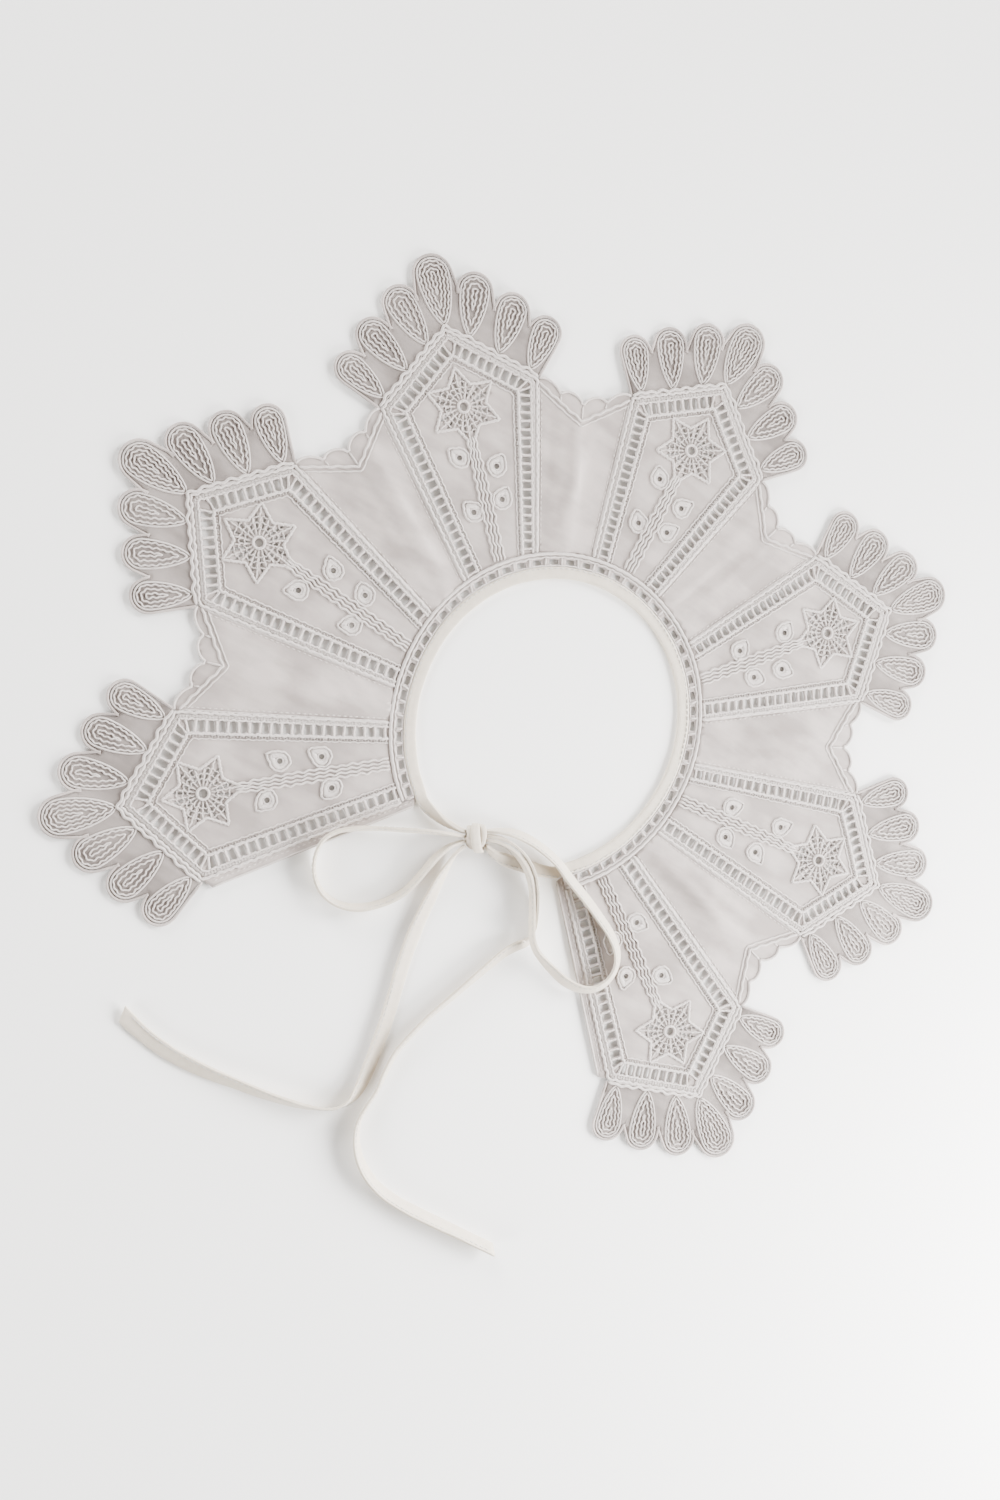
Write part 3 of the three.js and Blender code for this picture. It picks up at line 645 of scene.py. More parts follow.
# Turns of tape round the knot, at angles round the bundle from its upper side in the flat
# view over its top to its lower side: how far along the bundle, half width, and radius.
KNOT_TURNS = [
    [(-50, -2.2, 1.0, 0.80), (0, -2.6, 1.2, 0.94), (40, -2.9, 1.3, 0.96), (80, -3.3, 1.0, 0.84)],
    [(-60, 1.0, 1.0, 0.84), (-10, 2.0, 1.3, 1.02), (30, 2.9, 1.4, 1.02), (70, 3.1, 1.2, 0.94),
     (120, 2.4, 1.0, 0.74)],
    [(-70, 0.6, 1.2, 0.90), (-20, 0.2, 1.3, 1.06), (20, -0.2, 1.6, 1.14), (75, -1.0, 2.1, 1.14),
     (120, -0.3, 2.3, 1.10), (160, 1.2, 2.3, 1.10), (200, 2.4, 2.0, 1.0), (250, 2.8, 1.5, 0.88)]]
# Section of such a turn: across it as a share of its half width, and out as one of thickness.
KNOT_SECTION = [
    (-1.0, 0.0), (-0.96, 0.38), (-0.78, 0.5), (-0.35, 0.36), (0.0, 0.33), (0.35, 0.36), (0.78, 0.5),
    (0.96, 0.38), (1.0, 0.0), (0.9, -0.3), (0.0, -0.4), (-0.9, -0.3)]
# The bundle in the knot: its turn, its middle and how low it reaches, half its length, breadth
# and height, the radii of the tape round it, and the rings and sides of its mesh.
KNOT_TURN, KNOT_MIDDLE, KNOT_LOWEST = math.radians(28), np.array([-6.5, -51.4, 4.35]), 0.35
KNOT_CORE, KNOT_RADII = (4.7, 4.6, 3.0), (5.6, 3.5)
KNOT_RINGS, KNOT_AROUND = 19, 24


def wrapped_knot():
    """Gathered tape with turns of tape wrapped slantwise round its middle."""
    def put(piece, points, rings, around):
        runs = np.array(points)
        points = runs.copy()
        points[:, :2] = turned(points[:, :2], KNOT_TURN)
        points += KNOT_MIDDLE
        points[:, 2] = np.maximum(points[:, 2], KNOT_LOWEST)
        piece.put(points, rings_joined(rings, around, False), runs)

    gathers, core = Piece(), []
    for across in np.linspace(-0.985, 0.985, KNOT_RINGS):
        body = math.sqrt(1 - abs(across) ** 2.6)
        for angle in np.arange(KNOT_AROUND) * 2 * math.pi / KNOT_AROUND:
            pleat = body * (1 + 0.07 * math.sin(5 * angle + 2 * across))
            core.append((
                KNOT_CORE[0] * across, KNOT_CORE[1] * pleat * math.cos(angle),
                KNOT_CORE[2] * pleat * math.sin(angle)))
    put(gathers, core, KNOT_RINGS, KNOT_AROUND)
    # The gathered tape takes the darker copy of the tape, as painted shade between the turns.
    gathered = gathers.make("tie_knot_inside", FOLD_SHADE, "tape")

    wrap = Piece()
    for rows in KNOT_TURNS:
        rows = np.array(rows)
        marks = np.linspace(rows[0, 0], rows[-1, 0], 44)
        along, half, reach = (np.interp(marks, rows[:, 0], rows[:, axis]) for axis in (1, 2, 3))
        smooth = np.array([1, 2, 3, 2, 1]) / 9
        along, half, reach = (
            np.convolve(np.pad(values, 2, "edge"), smooth, "valid")
            for values in (along, half, reach))
        band = []
        for angle, middle_at, wide, far in zip(np.radians(marks), along, half, reach):
            for across, out in KNOT_SECTION:
                swollen = TAPE_THICK * out - 0.45 * across * across
                lag = angle + 0.10 * across
                band.append((
                    middle_at + wide * across,
                    (KNOT_RADII[0] * far + swollen) * math.cos(lag),
                    (KNOT_RADII[1] * far + swollen) * math.sin(lag)))
        put(wrap, band, len(marks), len(KNOT_SECTION))
    return wrap.make("tie_knot_wrap", TAPE, "tape", "tie_knot"), gathered


knot = wrapped_knot()
tie("bow_loop_right", LOOP_RIGHT)
tie("bow_loop_left", LOOP_LEFT)
tie("tie_tail_right", TAIL_RIGHT, slant=3.2)
tie("tie_tail_left", TAIL_LEFT, slant=1.5)


# ------------------------------------------------------------------ the fan's geometry
PANELS, PITCH = 7, math.radians(42.3)
SEAM, INSERTION = 0.3, 6.0                # gap between pieces, width of the insertion
# The neck line is an oval: mean radius, how far it is set back, and how far it is drawn out.
NECK_MEAN, NECK_BACK, NECK_OVAL = 72.2, 7.5, 3.1
# The binding: folded width, thickness, and the bearings from +Y at which its leads begin.
BINDING_WIDTH, BINDING_THICK, BINDING_END = 5.2, 1.8, math.radians(141)
# A panel: half width at the neck, how far along and how far out its shoulders lie, and its apex.
NECK_HALF, SHOULDER, SHOULDER_OUT, APEX = 17.0, 150.5, 34.5, 177.5
SHOULDER_SLOPE = math.atan2(APEX - SHOULDER, SHOULDER_OUT)


def place(angle, points):
    """Flat points given along and out from an axis at an angle from +Y."""
    points = np.asarray(points, float).reshape(-1, 2)
    along, out = points[:, 0], points[:, 1]
    return np.stack([
        along * math.sin(angle) + out * math.cos(angle),
        along * math.cos(angle) - out * math.sin(angle)], 1)


def neck_radius(angle, offset=0.0):
    return NECK_MEAN + NECK_BACK * np.cos(angle) + NECK_OVAL * np.cos(2 * angle) + offset


def neck_line(start, stop, offset, count):
    angles = np.linspace(start, stop, count)
    reach = neck_radius(angles, offset)
    return np.stack([reach * np.sin(angles), reach * np.cos(angles)], 1)


def neck_along(angle, out, offset=0.0):
    """How far along an axis the neck line lies, at a distance out from it."""
    along = neck_radius(angle, offset)
    for _ in range(8):
        x, y = place(angle, [(along, out)])[0]
        along += neck_radius(math.atan2(x, y), offset) - math.hypot(x, y)
    return along


def panel_angle(index):
    return (index - (PANELS - 1) / 2) * PITCH


# ------------------------------------------------------------------ panels
# Sides of a panel from its shoulder: number of ladder holes, plain cloth before the first
# and after the last, how far holes lie inside the edge at either end, their length, and how
# far from either end their inner corners keep.
LONG_SIDE = dict(
    holes=19, start=3.6, stop=1.6, margin=(2.9, 2.0), length=(5.1, 4.6), clear=(5.9, 0.0))
SHORT_SIDE = dict(
    holes=9, start=3.6, stop=5.6, margin=(2.9, 2.9), length=(5.1, 5.1), clear=(5.9, 7.2))
# Half a ladder hole's width as a share of the pitch, and the least width of its inner end.
HOLE_HALF, HOLE_END = 0.35, 1.5
# Bars between the ladder holes: swing, wavelength and step, and the size.
LADDER_BAR = dict(wave=(0.12, 2.9, 0.9), widths=(1.05, 1.45), height=1.2, pinch=0.75)
# Cords along a panel's border, and stitches across it: how far inside the panel's edge they lie
# at the shoulder and at the neck, the swing, wavelength and step of a cord, and its size.
SATIN_BAND = dict(inset=(1.65, 1.1), width=2.3, height=0.55)
BORDER_CORDS = [
    dict(inset=(-0.05, -0.05), wave=(0.26, 3.3, 0.9), width=1.4, height=1.15, sides=6),
    dict(inset=(2.65, 1.8), wave=(0.22, 2.4, 0.8), width=0.95, height=1.25, sides=6),
    dict(inset=(8.5, 6.8), wave=(0.26, 2.4, 0.8), width=1.4, height=1.3, sides=6),
    dict(inset=(10.7, 8.6), wave=(0.24, 3.1, 1.1), width=0.7, height=0.6, sides=5)]
BORDER_TICKS = [
    dict(inset=(1.65, 1.1), reach=1.9, pitch=1.3), dict(inset=(9.55, 7.8), reach=0.9, pitch=1.25)]
# Leaves on the stem: how far along they lie at the front and at the back panels, and how far out.
LEAVES = [
    dict(front=120.1, back=126.3, out=-6.9), dict(front=112.5, back=120.2, out=8.2),
    dict(front=93.0, back=104.4, out=-6.2), dict(front=95.2, back=107.4, out=7.3)]
NECK_AT_FRONT, NECK_AT_BACK = 66.8, 82.8  # neck radius on the front and the back panels' axes
# A leaf: half length and half width of its edge and of its filling, eyelet's radius, and lean.
LEAF = dict(edge=(4.2, 4.1), filling=(2.7, 2.6), eyelet=1.2, lean=38)
# The star: radii of its tips, valleys, ring and eyelet, and the number of spokes and points.
STAR = dict(tip=16.5, valley=9.9, ring=2.9, eyelet=1.7, spokes=18, points=6)
STAR_CENTRE = np.array([145.0, 0.0])
STAR_STEP = 360 / STAR["points"]
# Slits by each of its points: turn from the point's axis in degrees, start, end and half width.
STAR_SLITS = [(-10, 4.5, 12.0, 0.66), (10, 4.5, 12.0, 0.66), (30, 3.8, 8.3, 0.58)]
# Threads across its spokes: radii of two rings, and a chord across the point that lies outwards.
STAR_WEB_RINGS = (5.9, 8.1)
STAR_WEB_CHORD = np.array([(10.0, -3.1), (10.7, 0.0), (10.0, 3.1)])
# Strands of the stem: how far out they lie, where they bend, and how far short of the star's
# middle they end.
STEM = dict(outs=(-2.4, -0.8, 0.8, 2.4), bend=110.0, end=13.0)
# Cords of the motifs: the swing, wavelength and step of each, and its size.
STAR_EDGE = dict(wave=(0.22, 1.6, 0.6), width=1.2, height=1.0, sides=6)
STAR_SPOKE = dict(wave=(0.22, 2.3, 0.8), width=0.62, height=0.85, sides=5)
STAR_THREAD = dict(wave=(0.34, 2.2, 0.6), width=0.5, height=0.8, sides=5)
STEM_CORD = dict(wave=(0.36, 4.6, 0.8), width=1.02, height=1.2, sides=5)
LEAF_EDGE = dict(wave=(0.14, 2.6, 0.8), width=0.95, height=1.0, sides=5)


def ladder_holes(shoulder, end, rule):
    """Rounded ladder holes and the bars between them, in the panel's own directions."""
    shoulder, end = np.array(shoulder), np.array(end)
    reach = np.linalg.norm(end - shoulder)
    along = (end - shoulder) / reach
    inward = np.array([-along[1], along[0]])
    if inward[1] * shoulder[1] > 0:
        inward = -inward
    pitch = (reach - rule["start"] - rule["stop"]) / rule["holes"]
    last = reach - rule["clear"][1]
    holes, bars = [], []

    def spot(distance, depth):
        return shoulder + along * distance + inward * depth

    for index in range(rule["holes"] + 1):
        middle = rule["start"] + index * pitch
        share = middle / reach
        outer = rule["margin"][0] + (rule["margin"][1] - rule["margin"][0]) * share
        inner = outer + rule["length"][0] + (rule["length"][1] - rule["length"][0]) * share
        inner_middle = min(max(middle, rule["clear"][0] - 0.4), last)
        tilt = chance.uniform(-0.25, 0.25)
        bars.append([spot(middle - tilt, outer - 0.4), spot(inner_middle + tilt, inner + 0.4)])
        if index == rule["holes"]:
            break
        middle += pitch / 2
        half = HOLE_HALF * pitch * chance.uniform(0.88, 1.05)
        low = min(max(middle - half, rule["clear"][0]), last - HOLE_END)
        high = min(max(middle + half, rule["clear"][0] + HOLE_END), last)
        holes.append(cut_corners([
            spot(middle - half, outer), spot(middle + half, outer), spot(high, inner),
            spot(low, inner)], 0.2))
    return holes, bars


def border_line(angle, shoulder_depth, neck_depth):
    """A line inside the panel's edge: neck, shoulder, apex, shoulder and neck again."""
    def side(sign):
        neck = np.array([neck_along(angle, sign * NECK_HALF), sign * NECK_HALF])
        shoulder = np.array([SHOULDER, sign * SHOULDER_OUT])
        long_way = (neck - shoulder) / np.linalg.norm(neck - shoulder)
        inward = np.array([0.0, -sign])
        inward = inward - long_way * np.dot(inward, long_way)
        inward /= np.linalg.norm(inward)
        top, bottom = shoulder + inward * shoulder_depth, neck + inward * neck_depth
        apex = np.array([APEX, 0.0])
        short_way = (apex - shoulder) / np.linalg.norm(apex - shoulder)
        across = np.array([-short_way[1], short_way[0]])
        if across[0] > 0:
            across = -across
        start = shoulder + across * shoulder_depth
        grid = np.stack([top - bottom, -short_way], 1)
        share = np.linalg.solve(grid, start - bottom)[0]
        corner = bottom + (top - bottom) * share
        bottom[0] = neck_along(angle, bottom[1])
        tip = start + short_way * (-start[1] / short_way[1])
        return [bottom, corner, tip]
    left, right = side(-1), side(1)
    return np.array([left[0], left[1], left[2], right[1], right[0]])


def star_outline(share=1.0):
    """Corners of the star, tips and valleys by turns, at a share of its size."""
    corner = np.arange(2 * STAR["points"])
    turn = corner * math.pi / STAR["points"]
    reach = np.where(corner % 2, STAR["valley"], STAR["tip"]) * share
    return STAR_CENTRE + np.stack([reach * np.cos(turn), reach * np.sin(turn)], 1)


def circle(centre, radius, count):
    turn = np.arange(count) * 2 * math.pi / count
    return np.stack([centre[0] + radius * np.cos(turn), centre[1] + radius * np.sin(turn)], 1)


def leaf_outline(centre, side, reach, spread):
    """A pointed oval whose tips lie along and outwards from the stem."""
    turn = np.arange(28) * 2 * math.pi / 28
    pull = 1 + 0.42 * np.maximum(np.cos(turn), 0) ** 8 + 0.07 * np.sin(3 * turn + side + centre[0])
    oval = np.stack([reach * pull * np.cos(turn), spread * np.sin(turn)], 1)
    return centre + turned(oval, math.radians(LEAF["lean"] * side))


def star_slits():
    """Eyelet and slits between the spokes: two towards each point and one towards each valley."""
    slits = [circle(STAR_CENTRE, STAR["eyelet"], 16)]
    for point in range(STAR["points"]):
        for degrees, near, far, wide in STAR_SLITS:
            reach = np.array([near, near + 0.45 * (far - near), near + 0.8 * (far - near), far])
            half = np.array([0.25, 0.8, 1.0, 0.35]) * wide * chance.uniform(0.8, 1.15)
            along = np.concatenate([reach, reach[::-1]])
            out = np.concatenate([-half, half[::-1]])
            slit = turned(np.stack([along, out], 1), math.radians(STAR_STEP * point + degrees))
            slits.append(STAR_CENTRE + slit)
    return slits


def star_spokes():
    """Radial stitches from the ring to the star's edge."""
    edge = even(star_outline(0.93), 0.25, True)
    turn_of = np.arctan2(edge[:, 1], edge[:, 0] - STAR_CENTRE[0])
    lines = []
    for spoke in range(STAR["spokes"]):
        turn = (spoke + chance.uniform(-0.12, 0.12)) * 2 * math.pi / STAR["spokes"]
        gap = np.abs(np.angle(np.exp(1j * (turn_of - turn))))
        end = edge[np.argmin(gap)]
        start = STAR_CENTRE + STAR["ring"] * np.array([math.cos(turn), math.sin(turn)])
        lines.append(np.array([start, end]))
    return lines


def star_web():
    """Fine threads across the spokes: two rings, and a chord across each point."""
    for reach in STAR_WEB_RINGS:
        yield circle(STAR_CENTRE, reach, 48), True
    for point in range(STAR["points"]):
        yield STAR_CENTRE + turned(STAR_WEB_CHORD, math.radians(STAR_STEP * point)), False


def leaves_of(angle):
    """Middle of each leaf of a panel, and the side of the stem on which it lies."""
    share = (neck_radius(angle) - NECK_AT_FRONT) / (NECK_AT_BACK - NECK_AT_FRONT)
    for leaf in LEAVES:
        along = leaf["front"] + (leaf["back"] - leaf["front"]) * share
        yield np.array([along, leaf["out"]]), math.copysign(1, leaf["out"])


def panel(index):
    angle = panel_angle(index)
    name = f"panel_{index + 1}"
    neck_out = np.linspace(-NECK_HALF, NECK_HALF, 9)
    outline = [(neck_along(angle, out), out) for out in neck_out]
    outline += [(SHOULDER, SHOULDER_OUT), (APEX, 0), (SHOULDER, -SHOULDER_OUT)]
    holes, bars = [], []
    for side in (-1, 1):
        shoulder = (SHOULDER, side * SHOULDER_OUT)
        neck = (neck_along(angle, side * NECK_HALF), side * NECK_HALF)
        for end, rule in ((neck, LONG_SIDE), ((APEX, 0.0), SHORT_SIDE)):
            cut, kept = ladder_holes(shoulder, end, rule)
            holes += cut
            bars += kept
    holes += star_slits()
    leaves = list(leaves_of(angle))
    holes += [circle(centre, LEAF["eyelet"], 12) for centre, _ in leaves]

    edge = even(place(angle, outline), 2.4, True)
    cut = [place(angle, hole) for hole in holes]
    made = cut_cloth(name, PANEL_LAWN, "lace", edge, cut)
    work = Piece()

    def lay(points, width, **more):
        lay_cord(work, place(angle, points), width, **more)

    for bar in bars:
        line, width = wavy(bar, *LADDER_BAR["wave"]), chance.uniform(*LADDER_BAR["widths"])
        lay(line, width, height=LADDER_BAR["height"], pinch=LADDER_BAR["pinch"])
    band = even(border_line(angle, *SATIN_BAND["inset"]), 2.0)
    lay(band, SATIN_BAND["width"], height=SATIN_BAND["height"])
    for cord in BORDER_CORDS:
        couch(lay, border_line(angle, *cord["inset"]), cord)
    for ticks in BORDER_TICKS:
        line = place(angle, border_line(angle, *ticks["inset"]))
        ticks_across(work, line, ticks["reach"], ticks["pitch"])

    couch(lay, star_outline(), STAR_EDGE, closed=True)
    for spoke in star_spokes():
        couch(lay, spoke, STAR_SPOKE, widen=0.5)
    for line, closed in star_web():
        couch(lay, line, STAR_THREAD, closed)
    lay(circle(STAR_CENTRE, STAR["ring"] - 0.45, 18), 1.15, height=1.5, closed=True)

    bottom = neck_along(angle, 0.0) + 0.6
    for number, out in enumerate(STEM["outs"]):
        top = STAR_CENTRE[0] - STEM["end"]
        stem = np.array([(bottom, out * 0.95), (STEM["bend"], out), (top, out * 0.7)])
        couch(lay, stem, STEM_CORD, start=index + 0.7 * number)

    for middle, side in leaves:
        couch(lay, leaf_outline(middle, side, *LEAF["edge"]), LEAF_EDGE, closed=True)
        lay(leaf_outline(middle, side, *LEAF["filling"]), 2.9, height=0.4, closed=True)
        lay(circle(middle, 1.5, 12), 0.6, closed=True, sides=5)

    embroidery = work.make(f"{name}_embroidery", THREAD, "lace")
    area = flat_area(edge, cut)
    (APEX - neck_radius(angle)) * MM


# ------------------------------------------------------------------ petals
# Petals from the middle one outwards: tip, radius of the tip, its lean, and the root.
PETALS = [
    dict(tip=(PETAL_REACH, 0.0), radius=7.8, lean=0, root=(178.9, 0.0)),
    dict(tip=(197.8, 18.8), radius=7.0, lean=20, root=(172.4, 9.2)),
    dict(tip=(186.2, 34.2), radius=6.8, lean=31, root=(163.5, 20.2)),
    dict(tip=(174.1, 46.9), radius=6.4, lean=36, root=(154.6, 32.3))]
NOTCHES = [(190.8, 9.3), (181.0, 22.4), (171.8, 36.0)]   # where a petal's edge meets the next
# Wavy lines inside a petal: about how far apart, how far the outermost lies from the edge and
# the innermost from the axis, their cord, and how soon a petal is as broad as its tip.
PETAL_LINE_GAP = 1.75
PETAL_INSETS = (2.1, 0.9)
PETAL_CORD = dict(wave=(0.26, 2.9, 0.6), width=0.72, height=1.05, sides=5)
PETAL_FULLNESS = 0.58
PETAL_EDGE = dict(inset=0.95, width=0.8)  # smooth cord round each petal
# Cords along the petals' roots: swing, width, and how far out they lie.
ROOT_CORDS = [(0.42, 1.35, 0.1), (0.1, 0.6, -1.0)]
EDGE_INSET, EDGE_WIDTH = 0.55, 1.15       # of the rolled edges of petals and gores


def touch(start, centre, radius, side):
    """Where a line from a point touches a circle."""
    gap = centre - start
    reach = np.linalg.norm(gap)
    heading = math.atan2(gap[1], gap[0]) + side * math.asin(radius / reach)
    length = math.sqrt(reach * reach - radius * radius)
    return start + length * np.array([math.cos(heading), math.sin(heading)])


def round_tip(before, after, centre, radius, count=12):
    """Arc of a petal's tip, between the lines that come from two points."""
    entry, leave = (
        touch(point, centre, radius, side) - centre for point, side in ((before, -1), (after, 1)))
    start = math.atan2(entry[1], entry[0])
    stop = math.atan2(leave[1], leave[0])
    if stop < start:
        stop += 2 * math.pi
    turn = np.linspace(start, stop, count)
    return centre + radius * np.stack([np.cos(turn), np.sin(turn)], 1)


def petal_loop(root, centre, radius, inset):
    """A tongue-shaped loop inside a petal, and how far from the root it starts."""
    axis = centre - root
    length = np.linalg.norm(axis)
    axis = axis / length
    side = np.array([-axis[1], axis[0]])
    first = length * 2 / math.pi * math.asin((inset / radius) ** (1 / PETAL_FULLNESS))
    along = np.linspace(first, length, 14)
    half = radius * np.sin(math.pi / 2 * along / length) ** PETAL_FULLNESS - inset
    turn = np.linspace(-math.pi / 2, math.pi / 2, 13)[1:-1]
    reach = np.concatenate([along, length + (radius - inset) * np.cos(turn), along[::-1]])
    out = np.concatenate([-half, (radius - inset) * np.sin(turn), half[::-1]])
    return root + reach[:, None] * axis + out[:, None] * side, first


def mirrored(point, side):
    return np.array([point[0], point[1] * side], float)


def shoulder_end(side, gap):
    """A panel's shoulder, moved out square to its short side."""
    return np.array([
        SHOULDER + gap * math.cos(SHOULDER_SLOPE),
        side * (SHOULDER_OUT + gap * math.sin(SHOULDER_SLOPE))])


def petals(index):
    angle = panel_angle(index)
    name = f"petals_{index + 1}"
    breaks = [shoulder_end(-1, 1.0)] + [mirrored(notch, -1) for notch in NOTCHES[::-1]]
    breaks += [mirrored(notch, 1) for notch in NOTCHES] + [shoulder_end(1, 1.0)]
    free_edge, loops = [breaks[0]], []
    middle = len(PETALS) - 1
    for number in range(2 * middle + 1):
        petal = PETALS[abs(number - middle)]
        side = -1 if number < middle else 1
        lean = math.radians(petal["lean"]) * side
        tip = mirrored(petal["tip"], side)
        heading = np.array([math.cos(lean), math.sin(lean)])
        centre = tip - petal["radius"] * heading
        free_edge += list(round_tip(breaks[number], breaks[number + 1], centre, petal["radius"]))
        free_edge.append(breaks[number + 1])
        loops.append((mirrored(petal["root"], side), centre, petal["radius"]))
    apex = (APEX + SEAM / math.cos(SHOULDER_SLOPE), 0.0)
    seam = [shoulder_end(1, SEAM), apex, shoulder_end(-1, SEAM)]

    edge = even(place(angle, np.array(free_edge + seam)), 2.0, True)
    made = cut_cloth(name, PETAL_LAWN, "lace", edge)
    work, rolled = Piece(), Piece()

    def lay(points, width, **more):
        lay_cord(work, place(angle, points), width, **more)

    rim = even(np.array(free_edge), 1.2)
    rim += sideways(rim) * EDGE_INSET
    lay_cord(rolled, place(angle, rim), EDGE_WIDTH, height=0.75)
    edging = rolled.make(f"{name}_edging", PANEL_LAWN, "lace")
    for root, centre, radius in loops:
        line, _ = petal_loop(root, centre, radius, PETAL_EDGE["inset"])
        lay(line, PETAL_EDGE["width"], height=PETAL_EDGE["width"], sides=5)
        lines = round((radius - sum(PETAL_INSETS)) / PETAL_LINE_GAP) + 1
        for inset in np.linspace(PETAL_INSETS[0], radius - PETAL_INSETS[1], lines):
            line, first = petal_loop(root, centre, radius, inset)
            phase = index + 2 * math.pi * first / PETAL_CORD["wave"][1]
            couch(lay, line, PETAL_CORD, start=phase)
    roots = np.array([loop[0] for loop in loops])
    for swing, width, out in ROOT_CORDS:
        line = roots + np.array([out, 0])
        ends = np.vstack([[shoulder_end(-1, 1.2)], line, [shoulder_end(1, 1.2)]])
        lay(wavy(ends, swing, 5.6), width, height=width, sides=6)
    embroidery = work.make(f"{name}_embroidery", THREAD, "lace")
    flat_area(edge)


# ------------------------------------------------------------------ gores
# Broad folds of each gore: where they lie across it, how far they spread, and how high they are.
FOLDS = [
    [(0.36, 0.16, 1.5), (0.70, 0.13, 0.9)], [(0.55, 0.18, 2.0), (0.24, 0.10, 0.8)],
    [(0.44, 0.16, 1.8)], [(0.60, 0.15, 1.7), (0.27, 0.12, 1.1)],
    [(0.40, 0.17, 1.9), (0.72, 0.11, 1.0)], [(0.52, 0.16, 1.4)]]
# Narrow creases: where they start across the gore, how they slant, and how high they stand.
CREASE_SPREAD = 0.04
CREASES = [
    [(0.44, 0.16, 1.05), (0.80, -0.10, 0.70), (0.18, 0.34, 0.60)],
    [(0.30, 0.10, 0.90), (0.66, 0.05, 1.15), (0.85, -0.42, 0.65)],
    [(0.56, -0.12, 1.10), (0.20, 0.08, 0.70), (0.30, 0.45, 0.60)]]
FOLD_END = 150.0                          # how far out the folds reach
# Scallops: how far they bulge, and how far out they meet, on the gore's axis (inner) and at a
# share of its half width on either side (middle).
SCALLOP = dict(bulge=3.2, inner=146.0, middle=148.6, middle_at=0.48)
GORE_SEAM = 1.9                           # how far beyond a panel's edge its seam is stitched
# The corded V of a gore: where it meets on the axis, how far it ends from the gore's corners,
# how far in from it a second cord lies, and the two cords.
V_MEET, V_END = 138.5, (1.2, 0.8)
V_INNER = np.array([(-2.6, 0.6), (-2.4, 0.0), (-2.6, -0.6)])
V_CORD = dict(wave=(0.22, 5.3, 0.85), width=1.2, height=0.96, sides=6)
V_INNER_CORD = dict(wave=(0.1, 4.1, 1.4), width=0.75, height=0.6, sides=5)


def scallop_along(share, corner):
    """How far out the scalloped edge lies, at shares of the gore's half width."""
    reach = np.abs(share)
    near = reach < SCALLOP["middle_at"]
    start = np.where(near, 0.0, SCALLOP["middle_at"])
    stop = np.where(near, SCALLOP["middle_at"], 1.0)
    low = np.where(near, SCALLOP["inner"], SCALLOP["middle"])
    high = np.where(near, SCALLOP["middle"], corner)
    part = np.clip((reach - start) / (stop - start), 0, 1)
    return low + (high - low) * part + SCALLOP["bulge"] * np.sqrt(np.sin(math.pi * part))


